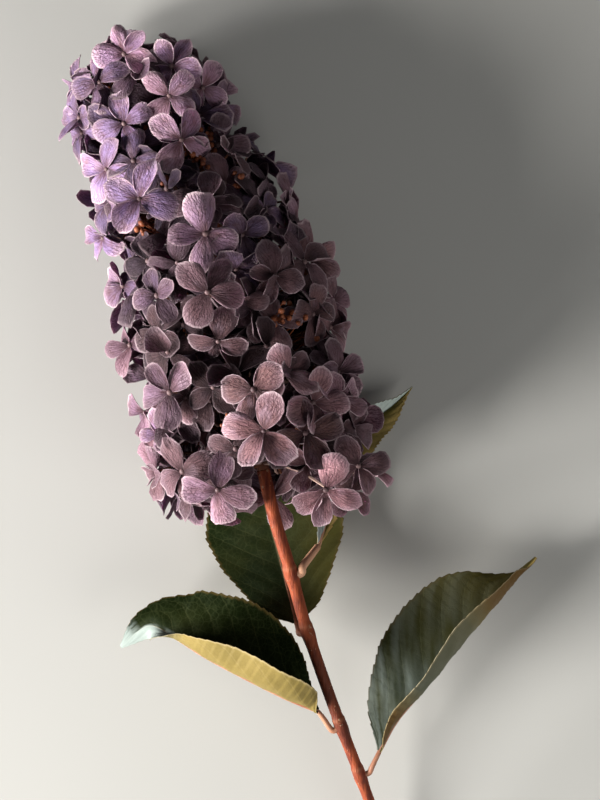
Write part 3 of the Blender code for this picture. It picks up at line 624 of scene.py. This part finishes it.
def bark_material():
    paint = Paint("bark", Roughness=0.6, Specular_IOR_Level=0.22)
    place = paint.place()
    x, y, z = paint.split(place)
    stretched = paint.combine(paint.times(x, 6), y, paint.times(z, 6))
    streak = paint.ease(paint.noise(stretched, 60, 5, 0.65), 0.3, 0.7)
    spot = paint.ease(paint.noise(place, 420, 2), 0.66, 0.74)
    _, dark, joint = paint.tint()
    paint.set("Base Color", paint.layers(
        paint.mix(streak, (0.11, 0.016, 0.008), (0.38, 0.078, 0.024)),
        (dark, (0.075, 0.02, 0.01)),
        (paint.times(joint, 0.4), (0.36, 0.14, 0.07)),
        (paint.times(spot, 0.6), (0.5, 0.3, 0.18))))
    grain = paint.noise(stretched, 260, 4)
    paint.set("Roughness", paint.ease(grain, 0.2, 0.8, 0.5, 0.8))
    paint.bump(paint.scaled(spot, 0.8, grain), 0.8, 0.0005)
    return paint.material


def floor_material():
    paint = Paint("floor", Roughness=0.85, Specular_IOR_Level=0.2)
    shade = paint.ease(paint.noise(paint.place(), 3), 0.3, 0.7)
    paint.set("Base Color", paint.mix(shade, (0.51, 0.505, 0.475), (0.54, 0.535, 0.5)))
    return paint.material


# Mesh building


class Shape:
    """Points, faces, fan coordinates and tints of a piece made of many closed bodies."""

    def __init__(self):
        self.points, self.faces, self.fans, self.tints = [], [], [], []
        self.count = 0

    def add(self, points, faces, tint, fan=None):
        points = np.asarray(points, float).reshape(-1, 3)
        n = len(points)
        self.points.append(points)
        self.faces.extend(tuple(i + self.count for i in face) for face in faces)
        self.fans.append(np.zeros((n, 2)) if fan is None else np.asarray(fan, float).reshape(-1, 2))
        self.tints.append(np.broadcast_to(np.asarray(tint, float), (n, 3)))
        self.count += n

    def build(self, name, material, replaced=(), sharp=50):
        mesh = bpy.data.meshes.new(name)
        points = (np.concatenate(self.points) - ORIGIN) * MM
        mesh.from_pydata(points.tolist(), [], self.faces)
        corner = np.empty(len(mesh.loops), np.int32)
        mesh.loops.foreach_get("vertex_index", corner)
        layer = mesh.uv_layers.new(name="fan")
        layer.data.foreach_set("uv", np.concatenate(self.fans)[corner].astype(np.float32).ravel())
        tint = mesh.attributes.new("tint", "FLOAT_VECTOR", "POINT")
        tint.data.foreach_set("vector", np.concatenate(self.tints).astype(np.float32).ravel())
        mesh.materials.append(material)
        mesh.shade_smooth()
        mesh.set_sharp_from_angle(angle=radians(sharp))
        item = put_in_scene(name, mesh)
        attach(item, "root")
        if replaced:
            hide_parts(*replaced)


def unit(v):
    return v / np.linalg.norm(v, axis=-1, keepdims=True)


def vec(*values):
    return np.array(values, float)


def sheet_faces(rows, columns):
    """Faces of a closed sheet: an upper and a lower grid of points, joined round the rim."""
    ids = np.arange(rows * columns).reshape(rows, columns)
    low = rows * columns
    top = np.stack([ids[:-1, :-1], ids[:-1, 1:], ids[1:, 1:], ids[1:, :-1]], -1).reshape(-1, 4)
    ring = np.concatenate([ids[0, :-1], ids[:-1, -1], ids[-1, :0:-1], ids[:0:-1, 0]])
    after = np.roll(ring, -1)
    rim = np.stack([after, ring, ring + low, after + low], -1)
    return np.concatenate([top, top[:, ::-1] + low, rim]).tolist()


def fan_points(across, along):
    """Fan coordinates of a closed sheet, the same on its upper and its lower face."""
    fan = np.stack(np.broadcast_arrays(across, along), -1).reshape(-1, 2)
    return np.concatenate([fan, fan])


def thickened(grid, depth):
    """Points of the upper and the lower face of a sheet round a grid of points."""
    down = np.gradient(grid, axis=0)
    over = np.gradient(grid, axis=1)
    normal = np.cross(over, down)
    normal /= np.maximum(np.linalg.norm(normal, axis=-1, keepdims=True), 1e-9)
    offset = 0.5 * depth * normal
    return np.concatenate([(grid + offset).reshape(-1, 3), (grid - offset).reshape(-1, 3)])


def between(table, x):
    xs, ys = zip(*table)
    return np.interp(x, xs, ys)


def smooth_path(points, count):
    """Evenly stepped points on a Catmull-Rom curve through the given ones."""
    p = np.array(points, float)
    p = np.concatenate([[2 * p[0] - p[1]], p, [2 * p[-1] - p[-2]]])
    u = np.linspace(0, len(points) - 1, count)
    k = np.minimum(u.astype(int), len(points) - 2)
    u = (u - k)[:, None]
    a, b, c, d = p[k], p[k + 1], p[k + 2], p[k + 3]
    square, cube = 2 * a - 5 * b + 4 * c - d, 3 * b - a - 3 * c + d
    return 0.5 * (2 * b + (c - a) * u + square * u * u + cube * u ** 3)


def tube(path, radii, sides):
    """Points and faces of a closed round tube along a path."""
    path = np.asarray(path, float)
    radii = np.broadcast_to(radii, len(path))
    directions = unit(np.gradient(path, axis=0))
    side = np.cross(directions, UP)
    poor = np.linalg.norm(side, axis=1) < 1e-3
    side[poor] = (1, 0, 0)
    side = unit(side)
    up = np.cross(side, directions)
    turns = np.arange(sides) * 2 * pi / sides
    rings = np.cos(turns)[:, None] * side[:, None] + np.sin(turns)[:, None] * up[:, None]
    rings = path[:, None] + radii[:, None, None] * rings
    ids = np.arange(len(path) * sides).reshape(-1, sides)
    following = np.roll(ids, -1, axis=1)
    faces = np.stack([ids[:-1], ids[1:], following[1:], following[:-1]], -1).reshape(-1, 4).tolist()
    faces.append(list(range(sides)))
    faces.append(list(reversed(range((len(path) - 1) * sides, len(path) * sides))))
    return rings.reshape(-1, 3), faces


def ball(centre, radius, axis, squash=1, rings=5, sides=8):
    """Points and faces of a small closed ball, flattened along an axis."""
    axis = unit(np.asarray(axis, float))
    first = unit(np.cross(axis, vec(0.3, 0.5, 0.8)))
    second = np.cross(axis, first)
    points = [centre + axis * radius * squash]
    for k in range(1, rings):
        a = pi * k / rings
        for j in range(sides):
            b = 2 * pi * j / sides
            outward = sin(a) * (cos(b) * first + sin(b) * second)
            points.append(centre + radius * (cos(a) * squash * axis + outward))
    points.append(centre - axis * radius * squash)
    faces = []
    for j in range(sides):
        n = (j + 1) % sides
        faces.append((0, 1 + j, 1 + n))
        for k in range(rings - 2):
            a, b = 1 + k * sides, 1 + (k + 1) * sides
            faces.append((a + j, b + j, b + n, a + n))
        last = 1 + (rings - 2) * sides
        faces.append((last + j, len(points) - 1, last + n))
    return points, faces


# The head's form, as in the part's source


def body_radius(y):
    return float(between(HEAD_RADIUS, y))


def end_slope(y):
    t = y / HEAD_LENGTH
    if t < 0:
        return max(t / (1.2 * -RULED_START), -1)
    return min(max((t - DOME_START) / (1 - DOME_START), 0), 1)


def dome(y):
    return sqrt(1 - end_slope(y) ** 2)


def floret_radius(y):
    return body_radius(y) * dome(y)


def head_axis(y):
    return vec(-between(HEAD_LEAN, y), y, body_radius(y) + BELLY_GAP)


def stem_height(y):
    rise = head_axis(0)[2] - STEM_END_RADIUS
    share = (y + STEM_LENGTH) / STEM_LENGTH
    return STEM_END_RADIUS + rise * sin(STEM_ARCH * share) / sin(STEM_ARCH)


def stem_axis(y):
    for (x0, y0), (x1, y1) in zip(STEM_PATH, STEM_PATH[1:]):
        if y <= y1:
            break
    return vec(x0 + (x1 - x0) * (y - y0) / (y1 - y0), y, stem_height(y))


def stem_radius(y):
    share = min(max(-y / STEM_LENGTH, 0), 1)
    radius = STEM_TOP_RADIUS + (STEM_END_RADIUS - STEM_TOP_RADIUS) * share
    return radius + NODE_SWELL * sum(exp(-((y - leaf["node"]) / NODE_REACH) ** 2) for leaf in LEAVES)


# Florets


def spread_petals(angles):
    """Four petal directions: the given ones, and the rest spaced in the widest gaps between them."""
    known = sorted(a % 360 for a in angles)
    gaps = [after - before for before, after in zip(known, [*known[1:], known[0] + 360])]
    extra = [0] * len(known)
    for _ in range(4 - len(known)):
        widest = max(range(len(known)), key=lambda k: gaps[k] / (extra[k] + 1))
        extra[widest] += 1
    full = []
    for start, gap, more in zip(known, gaps, extra):
        full += [start + gap * k / (more + 1) for k in range(more + 1)]
    return full


def facing(right, up):
    right, up = radians(right), radians(up)
    return vec(sin(right) * cos(up), sin(up), cos(right) * cos(up))


def front_florets():
    florets = []
    for k, (x, y, length, angles, right, up, lift) in enumerate(FRONT_FLORETS):
        rng = Random(SEEDS["placed"] + k)
        axis = head_axis(y)
        radius = floret_radius(y)
        aside = min(abs(x - axis[0]), radius)
        centre = vec(x, y, axis[2] + sqrt(radius * radius - aside * aside) + lift)
        normal = unit(facing(right, up) + OUTWARD_SHARE * unit(centre - axis))
        petals = []
        for angle in spread_petals(angles):
            flat = vec(cos(radians(angle)), sin(radians(angle)), 0)
            flat[2] = -flat.dot(normal) / normal[2]
            petals.append((unit(flat), length * rng.uniform(0.94, 1.06)))
        florets.append({"centre": centre, "normal": normal, "petals": petals,
                        "droop": rng.uniform(-0.05, 0.2), "open": True})
    return florets


def ruled_floret(share, turn, rng, depth=RULED_DEPTH, length=RULED_LENGTH, reach=1, vary=0.25):
    y = share * HEAD_LENGTH
    axis = head_axis(y)
    along = unit(head_axis(max(y, 0) + 4) - head_axis(max(y, 0)))
    side = unit(np.cross(along, UP))
    up = np.cross(side, along)
    outward = cos(turn) * side + sin(turn) * up
    sink = FRONT_SINK * max(outward[2], 0) * reach
    centre = axis + outward * (floret_radius(y) * reach + rng.uniform(*depth) - sink)
    normal = outward * dome(y) + along * (end_slope(y) + rng.uniform(-0.25, 0.4))
    normal = unit(normal + vec(*[rng.uniform(-vary, vary) for _ in range(3)]))
    first = np.array(Vector(normal).orthogonal().normalized())
    second = np.cross(normal, first)
    start = rng.uniform(0, 0.5 * pi)
    petals = []
    for k in range(4):
        a = start + k * 0.5 * pi + rng.uniform(-0.12, 0.12)
        petals.append((cos(a) * first + sin(a) * second, length * rng.uniform(0.9, 1.06)))
    return {"centre": centre, "normal": normal, "petals": petals, "droop": rng.uniform(-0.05, 0.25)}


def floret_hull(floret, margin):
    """A rough thin body of the floret, to test it against the leaves, the stem and the floor."""
    centre, normal = floret["centre"], floret["normal"]
    first = floret["petals"][0][0]
    second = np.cross(normal, first)
    reach = max(length for _, length in floret["petals"]) + margin
    n = HULL_CORNERS
    turns = [2 * pi * k / n for k in range(n)]
    points = [centre + reach * (cos(a) * first + sin(a) * second) + height * normal
              for height in (margin, -SOLID_THICKNESS - margin) for a in turns]
    faces = [tuple(range(n)), tuple(range(n, 2 * n))]
    faces += [(k, (k + 1) % n, n + (k + 1) % n, n + k) for k in range(n)]
    return [Vector(p) for p in points], faces


def settled(floret, barriers):
    """Rests a low floret on the surface, and returns None where it would touch a leaf or the stem."""
    for lift in LIFTS:
        trial = dict(floret)
        trial["centre"] = floret["centre"] + lift * UP
        lowest = min(p[2] for p in floret_hull(trial, 0)[0])
        if lowest < REST_REACH:
            trial["centre"] = trial["centre"] - lowest * UP
        points, faces = floret_hull(trial, CLEARANCE)
        tree = BVHTree.FromPolygons(points, faces)
        if not any(tree.overlap(barrier) for barrier in barriers):
            return trial
    return None


def near(centre, florets, distance):
    """Whether a place is nearer than a distance to any of some florets."""
    return any(np.linalg.norm(floret["centre"] - centre) < distance for floret in florets)


def in_corridor(centre, end):
    """Whether a floret would stand in front of the stem where it enters the head."""
    return centre[1] < end and abs(centre[0]) < STEM_CORRIDOR and centre[2] > head_axis(0)[2]


def head_florets(barriers):
    """The placed florets, then as many by rule as there is room for over the rest of the head."""
    florets = [f for f in (settled(g, barriers) for g in front_florets()) if f]
    placed = len(florets)
    rng = Random(SEEDS["ruled"])
    for k in range(RULED_STEPS):
        share = RULED_START + (RULED_END - RULED_START) * (k + 0.5) / RULED_STEPS
        candidate = ruled_floret(share, k * GOLDEN_ANGLE, rng)
        centre = candidate["centre"]
        if near(centre, florets[:placed], PLACED_SPACING) or near(centre, florets[placed:], RULED_SPACING):
            continue
        if in_corridor(centre, CORRIDOR_END) or np.linalg.norm(centre - np.array(LEAF_GAP)) < LEAF_GAP_REACH:
            continue
        candidate = settled(candidate, barriers)
        if candidate:
            florets.append(candidate)
    return florets


def on_front(centre):
    return centre[2] >= head_axis(centre[1])[2]


def spot_strength(centre, spots):
    """How strongly a floret on the front of the head is under the strongest of some spots."""
    if not on_front(centre):
        return 0
    return max(strength * exp(-((centre[0] - x) ** 2 + (centre[1] - y) ** 2) / reach ** 2)
               for x, y, reach, strength in spots)


def over_buds(centre):
    """Whether a floret would hide one of the clusters of buds that show."""
    near_bud = any(hypot(centre[0] - x, centre[1] - y) < BUD_CLEARING for x, y, _ in BUD_SPOTS)
    return near_bud and on_front(centre)


def inner_florets(barriers):
    """Layers of smaller florets under the outer ones, which fill the gaps between them."""
    florets = []
    rng = Random(SEEDS["inner"])
    for tries, reach, apart, lengths, vary, shade in INNER_LAYERS:
        layer = []
        for k in range(tries):
            share = INNER_END * (k + 0.5) / tries
            turn = k * GOLDEN_ANGLE + INNER_TURN
            candidate = ruled_floret(share, turn, rng, INNER_DEPTH, rng.uniform(*lengths), reach, vary)
            centre = candidate["centre"]
            if over_buds(centre) or in_corridor(centre, INNER_CORRIDOR_END) or near(centre, layer, apart):
                continue
            candidate = settled(candidate, barriers)
            if candidate:
                # The deeper layers carry painted shade in their brightness
                candidate["shade"] = shade
                layer.append(candidate)
        florets += layer
    return florets


def ripple(rng, least, most, x, turn=6.3):
    """A sine wave over x with a pace and a start of its own."""
    return np.sin(rng.uniform(least, most) * x + rng.uniform(0, turn))


def petal_grid(length, spread, rng, droop, pair, cells, vary):
    """Points of one petal in its own frame: x across, y along, z out of the floret."""
    t = np.linspace(-1, 1, cells + 1)
    a = PETAL_SPREAD * np.sin(0.5 * pi * t)
    v = np.linspace(0.05, 1, cells + 1)[:, None]
    square = PETAL_SQUARE + rng.uniform(-0.3, 0.4)
    outline = (1 - np.abs(a) ** square) ** 0.5
    notch = rng.choice((0, 0, 0.03, 0.06)) * np.exp(-((a - rng.uniform(-0.1, 0.1)) / 0.16) ** 2)
    point = rng.choice((0, 0.03, 0.07)) * np.exp(-(a / 0.22) ** 2)
    lobes = 0.02 * ripple(rng, 5, 9, a)
    outline = outline * (1 - notch + point + lobes)
    skew = rng.uniform(-0.1, 0.1)
    turn = (a + skew * (1 - a * a)) * spread
    r = length * outline * v
    x = r * np.sin(turn)
    y = r * np.cos(turn)
    s = r / length
    lean = x / length
    folded = rng.random() < FOLD_CHANCE * vary ** 3
    cup = rng.uniform(*(PETAL_FOLD if folded else PETAL_CUP))
    roll = rng.uniform(*PETAL_ROLL)
    rise = rng.uniform(*PETAL_RISE)
    bend = rng.uniform(*PETAL_BEND) + droop
    curl = rng.uniform(*PETAL_CURL)
    z = rise * s - bend * s ** 2.2 + cup * lean * lean * 1.8 + roll * lean * s
    z = z + curl * v ** 6 * (1 + 0.6 * ripple(rng, 3, 6, a))
    for _ in range(3):
        z = z + rng.uniform(0.01, 0.034) * s ** 2 * ripple(rng, 4, 12, a)
    z = z + 0.025 * ripple(rng, 6, 10, s) * s
    z = z * length + PAIR_GAP * pair * np.minimum(1, 4 * s) + 0.05 * x
    pitch = radians(min(max(rng.gauss(5, PETAL_PITCH * vary), -30), 45))
    tilt = radians(rng.gauss(0, PETAL_TILT * vary))
    y, z = y * cos(pitch) - z * sin(pitch), y * sin(pitch) + z * cos(pitch)
    x, z = x * cos(tilt) + z * sin(tilt), z * cos(tilt) - x * sin(tilt)
    return np.stack([x, y, z], -1), a, v


def rested(points):
    """Points eased up from the surface, as a petal bends where it rests on it."""
    eased = points.copy()
    z = points[..., 2]
    eased[..., 2] = 0.5 * (z + np.sqrt(z * z + 4 * REST_SOFTNESS ** 2)) + REST_GAP
    return eased


def add_floret(shape, floret, rng, cells):
    """Four petals round the middle of a floret."""
    centre, normal = floret["centre"], floret["normal"]
    faces = sheet_faces(cells + 1, cells + 1)
    first = floret["petals"][0][0]
    second = np.cross(normal, first)

    def bearing(petal):
        return atan2(petal[0].dot(second), petal[0].dot(first))

    order = sorted(floret["petals"], key=bearing)
    bearings = [bearing(petal) for petal in order]
    vary = PLACED_VARY if "open" in floret else RULED_VARY
    axis = head_axis(centre[1])
    # More violet to the left of the head, rosier to the right: painted light, the cast of a bluish light from the
    # left
    aside = (centre[0] - axis[0]) / max(floret_radius(centre[1]), 10)
    rosy = between(ROSINESS, centre[1]) + 0.3 * aside + rng.uniform(-0.4, 0.35)
    # Brown from the spots or from drying tints and darkens the petals; under the spots it is partly painted shade
    brown_and_shade = max(spot_strength(centre, BROWN_AND_SHADE_SPOTS), DRIED_STRENGTH * (rng.random() < DRIED_CHANCE))
    tone = floret.get("shade", 1) * rng.uniform(*FLORET_TONES) * (1 - BROWN_SHADE * brown_and_shade)
    # Painted shade: florets darkened under the dark spots
    tone *= 1 - spot_strength(centre, PAINTED_SHADE_SPOTS)
    if "shade" not in floret:
        # Painted light: outer florets made brighter under the pale spots
        tone *= 1 + spot_strength(centre, PAINTED_LIGHT_SPOTS)
        # Painted shade on the outer florets set by rule on the front, between the placed ones
        if "open" not in floret and centre[2] > axis[2]:
            tone *= RULED_SHADE
    for k, (direction, length) in enumerate(order):
        before = (bearings[k] - bearings[k - 1]) % (2 * pi)
        after = (bearings[(k + 1) % 4] - bearings[k]) % (2 * pi)
        spread = min(max(0.235 * (before + after) + rng.uniform(-0.08, 0.06), 0.58), 0.86)
        grid, a, v = petal_grid(length, spread, rng, floret["droop"], 1 if k % 2 else -1, cells, vary)
        across = np.cross(direction, normal)
        world = rested(centre + grid @ np.stack([across, direction, normal]))
        points = thickened(world, PETAL_THICKNESS * (1 - 0.35 * v[:, :, None]))
        fan = fan_points(0.5 + 0.5 * a[None, :], v)
        hue = min(max(rosy + rng.uniform(-0.15, 0.15), 0), 1) + brown_and_shade
        tint = (tone * rng.uniform(*PETAL_TONES), hue, rng.uniform(0, 40))
        shape.add(points, faces, tint, fan)


def make_florets(florets, inner, material):
    """All the florets, shared out over a few pieces."""
    layers = ((florets, SEEDS["petals"], PETAL_CELLS), (inner, SEEDS["inner petals"], INNER_CELLS))
    for g in range(FLORET_PIECES):
        shape = Shape()
        for layer, seed, cells in layers:
            for k in range(g, len(layer), FLORET_PIECES):
                add_floret(shape, layer[k], Random(seed + k), cells)
        shape.build(f"florets_{g + 1}", material, ["flower_head"])


def make_stalks(florets, material):
    """The head's axis and the thin stalks that carry the florets."""
    shape = Shape()
    axis = [head_axis(y) for y in np.linspace(CORE_START, 0.9 * HEAD_LENGTH, AXIS_STATIONS)]
    shape.add(*tube(axis, np.linspace(*AXIS_RADII, AXIS_STATIONS), 10), (0, 0, 0))
    rng = Random(SEEDS["stalks"])
    for floret in florets:
        centre, normal = floret["centre"], floret["normal"]
        root = head_axis(min(max(centre[1] - 1.6 * STALK_DROP, CORE_START + 3), 0.88 * HEAD_LENGTH))
        middle = root + 0.5 * (centre - root) + vec(0, 3, 0)
        path = rested(smooth_path([root, middle, centre - 5 * normal, centre - 0.2 * normal], STALK_STATIONS))
        points, faces = tube(path, np.linspace(*STALK_RADII, STALK_STATIONS), 5)
        shape.add(points + 0.4 * UP, faces, (rng.choice((0, 0, 0.3, 0.8)), 0, 0))
    shape.build("stalks", material)


def make_knobs(florets, material):
    """The small knob at the middle of each floret, raised where the floret is near the surface."""
    shape = Shape()
    rng = Random(SEEDS["knobs"])
    for floret in florets:
        centre = rested(floret["centre"] + 0.2 * floret["normal"]) + 1.2 * UP * (floret["centre"][2] < 3)
        points, faces = ball(centre, rng.uniform(*KNOB_RADII), floret["normal"], KNOB_SQUASH)
        shape.add(points, faces, (rng.random(), 0, 0))
    shape.build("knobs", material)


def bud_clusters(rng):
    """Middles of the hidden clusters of buds, then of those that show."""
    spots = [(rng.uniform(*CLUSTER_STRETCH), k * GOLDEN_ANGLE, rng.uniform(*CLUSTER_DEPTH))
             for k in range(HIDDEN_CLUSTERS)]
    middles = []
    for y, turn, reach in spots:
        outward = unit(vec(cos(turn), 0.3, sin(turn)))
        middles.append(head_axis(y) + outward * floret_radius(y) * reach)
    for x, y, depth in BUD_SPOTS:
        axis = head_axis(y)
        aside = min(abs(x - axis[0]), 0.98 * floret_radius(y))
        middles.append(vec(x, y, axis[2] + sqrt(floret_radius(y) ** 2 - aside ** 2) - depth))
    return middles


def make_buds(material):
    """The clusters of small fertile buds on their stalks inside the head."""
    shape = Shape()
    rng = Random(SEEDS["buds"])
    for middle in bud_clusters(rng):
        axis = head_axis(middle[1] - 12)
        for _ in range(rng.randint(*CLUSTER_COUNT)):
            spot = middle + vec(*[rng.gauss(0, CLUSTER_SCATTER) for _ in range(3)])
            if spot[2] < LOWEST_BUD:
                continue
            outward = unit(spot - axis)
            points, faces = ball(spot, rng.uniform(*BUD_RADII), outward, rng.uniform(*BUD_SQUASH))
            shape.add(points, faces, (rng.random(), 0, 0))
            root = spot - BUD_STALK * outward + vec(*[rng.gauss(0, 0.8) for _ in range(3)])
            points, faces = tube(smooth_path([root, spot], 3), BUD_STALK_RADIUS, 4)
            shape.add(points, faces, (rng.random(), 0, 0))
    shape.build("fertile_buds", material)


# Leaves and stem


def smoothed(values):
    kernel = np.hanning(15) / np.hanning(15).sum()
    return np.convolve(np.pad(values, 7, mode="edge"), kernel, mode="valid")


def half_blade(leaf, half, share, q, rng):
    """Offsets, sideways and upwards, of the points at shares q of half a blade."""
    full, shares, fold, openings = leaf[half]
    outline = smoothed(between(shares, share))
    opening = smoothed(between(openings, share))
    saw = (share * LEAF_TEETH + rng.random()) % 1
    tooth = LEAF_TOOTH * (saw - 0.5) * np.minimum(1, 3 * outline) * np.minimum(1, 12 * share)
    width = np.maximum(full * outline, 0.35) + np.maximum(tooth, -0.3)
    angle = np.radians(np.interp(q, (0.25, 0.75), fold))[None, :] * opening[:, None]
    step = np.diff(q, prepend=0)[None, :] * width[:, None]
    out = np.cumsum(step * np.cos(angle), axis=1)
    lift = np.cumsum(step * np.sin(angle), axis=1)
    arch = VEIN_LEAN * q + VEIN_BEND * q * q
    phase = (share[:, None] - arch[None, :]) * LEAF_VEINS * pi
    swell = np.abs(np.sin(phase)) ** 0.7 * np.minimum(1, 5 * q) * (1 - 0.55 * q)[None, :]
    wave = 0.9 * q ** 2 * ripple(rng, 13, 19, share[:, None], 6)
    bulge = LEAF_QUILT * swell * np.minimum(1, 2.5 * outline)[:, None]
    bulge = bulge + wave * np.minimum(1, 2 * outline)[:, None]
    return out - bulge * np.sin(angle), lift + bulge * np.cos(angle)


def blade_grid(place, halves, across, normal):
    """Points of a whole blade from the offsets of its two halves from the rib."""
    across, normal = across[:, None], normal[:, None]
    left, right = (place[:, None] + sign * out[..., None] * across + lift[..., None] * normal
                   for sign, (out, lift) in zip((1, -1), halves))
    return rested(np.concatenate([left[:, ::-1], right[:, 1:]], axis=1))


def blade_tint(name, share, q):
    """Tints of a blade's faces: which face it is, how olive or brown, partly painted shade, and how pale, on the
    upper face a painted reflection.
    """
    (left, right, tip), painted_sheen_left, painted_sheen_right = LEAF_TONES[name]
    lefts = (np.arange(len(q)) < LEAF_CELLS + 0.5)[None, :]
    olive_or_painted_light = np.where(lefts, left, right) * (0.3 + 0.7 * q)[None, :] + tip * share[:, None] ** 2
    tint = np.zeros((2, len(share), len(q), 3))
    tint[0, ..., 0] = 1
    tint[0, ..., 1] = np.clip(olive_or_painted_light, -1, 2)
    tint[0, ..., 2] = np.where(lefts, between(painted_sheen_left, share)[:, None], between(painted_sheen_right, share)[:, None])
    for channel, table in enumerate(UNDER_TONES[name]):
        tint[1, ..., 1 + channel] = between(table, share)[:, None]
    return tint.reshape(-1, 3)


def make_blade(leaf, material, place, normal, rng):
    share = np.linspace(0, 1, LEAF_STATIONS)
    q = np.linspace(0, 1, LEAF_CELLS + 1) ** 0.9
    across = np.cross(normal, unit(np.gradient(place, axis=0)))
    halves = [half_blade(leaf, half, share, q, rng) for half in ("left", "right")]
    grid = blade_grid(place, halves, across, normal)
    q = np.concatenate([q[::-1], q[1:]])
    points = thickened(grid, LEAF_THICKNESS * (1 - 0.4 * q)[None, :, None]) + LEAF_LIFT * UP
    fan = fan_points(q[None, :], share[:, None])
    shape = Shape()
    shape.add(points, sheet_faces(*grid.shape[:2]), blade_tint(leaf["name"], share, q), fan)
    shape.build(leaf["name"] + "_blade", material, [leaf["name"]], 60)


def make_rib(leaf, material, place, normal):
    """A leaf's stalk from the stem, carried on under the blade as its rib."""
    foot = stem_axis(leaf["node"])
    side = unit(np.array(leaf["side"], float))
    knots = [foot + side * 1.2, foot + side * 4, *leaf["stalk"], leaf["rib"][0]]
    stalk = smooth_path(knots, LEAF_STALK_STATIONS)[:-1]
    below = rested(place - RIB_DEPTH * normal)[::RIB_STEP]
    thick, thin = (leaf.get("stalk_radius", 1) * radius for radius in LEAF_STALK_RADII)
    radii = np.concatenate([np.linspace(thick, thin, len(stalk)), np.linspace(*RIB_RADII, len(below))])
    points, faces = tube(np.concatenate([stalk, below]), radii, 10)
    shape = Shape()
    shape.add(points + LEAF_LIFT * UP, faces, (PALE_STALKS.get(leaf["name"], 0), 0, 0))
    shape.build(leaf["name"] + "_rib", material)


def make_leaf(leaf, blade_paint, rib_paint, seed):
    place = smooth_path(leaf["rib"], LEAF_STATIONS)
    along = unit(np.gradient(place, axis=0))
    normal = unit(UP - along * along[:, 2:3])
    make_blade(leaf, blade_paint, place, normal, Random(seed))
    make_rib(leaf, rib_paint, place, normal)


def make_stem(material):
    knots = [stem_axis(y) for _, y in STEM_PATH[:-1]]
    path = smooth_path([*knots, head_axis(CORE_START)], STEM_STATIONS)
    y = path[:, 1]
    radii = np.array([stem_radius(p) for p in y])
    joint = np.zeros(len(y))
    for leaf in LEAVES:
        ring, groove = (np.exp(-((y - leaf["node"] - middle) / JOINT_REACH) ** 2)
                        for middle in (JOINT_PLACE, GROOVE_PLACE))
        joint += ring
        radii += JOINT_SWELL * ring - GROOVE_DEPTH * groove
    points, faces = tube(path, radii, STEM_SIDES)
    tint = np.stack([np.ones(len(y)), between(STEM_DARK, y), np.clip(joint, 0, 1)], -1)
    shape = Shape()
    shape.add(points, faces, np.repeat(tint, STEM_SIDES, axis=0))
    shape.build("stem_bark", material, ["stem"], 40)


# The scene


def barrier_tree(item):
    points = [Vector(np.array(v.co) / MM + ORIGIN) for v in item.data.vertices]
    return BVHTree.FromPolygons(points, [tuple(p.vertices) for p in item.data.polygons])


def make_floor(material):
    mesh = bpy.data.meshes.new("floor")
    corners = [(x * FLOOR_HALF, y * FLOOR_HALF, 0) for x, y in ((-1, -1), (1, -1), (1, 1), (-1, 1))]
    mesh.from_pydata(corners, [], [(0, 1, 2, 3)])
    mesh.materials.append(material)
    floor = put_in_scene("floor", mesh)


make_camera()
bpy.context.scene.view_settings.view_transform = "Standard"
make_world(WORLD_COLOUR, WORLD_STRENGTH)
for name, settings in LIGHTS.items():
    make_light(name, *settings)
make_floor(floor_material())

barriers = [barrier_tree(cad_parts[name]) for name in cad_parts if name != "flower_head"]
outer = head_florets(barriers)
inner = inner_florets(barriers)
make_florets(outer, inner, petal_material())
make_stalks(outer + inner, twig_material("stalk", *TWIGS["stalk"]))
make_knobs(outer + inner, bead_material("knob", *BEADS["knob"]))
make_buds(bead_material("bead", *BEADS["bead"]))
green = leaf_material()
pink = twig_material("petiole", *TWIGS["petiole"])
for index, leaf in enumerate(LEAVES):
    make_leaf(leaf, green, pink, SEEDS["leaves"] + index)
make_stem(bark_material())
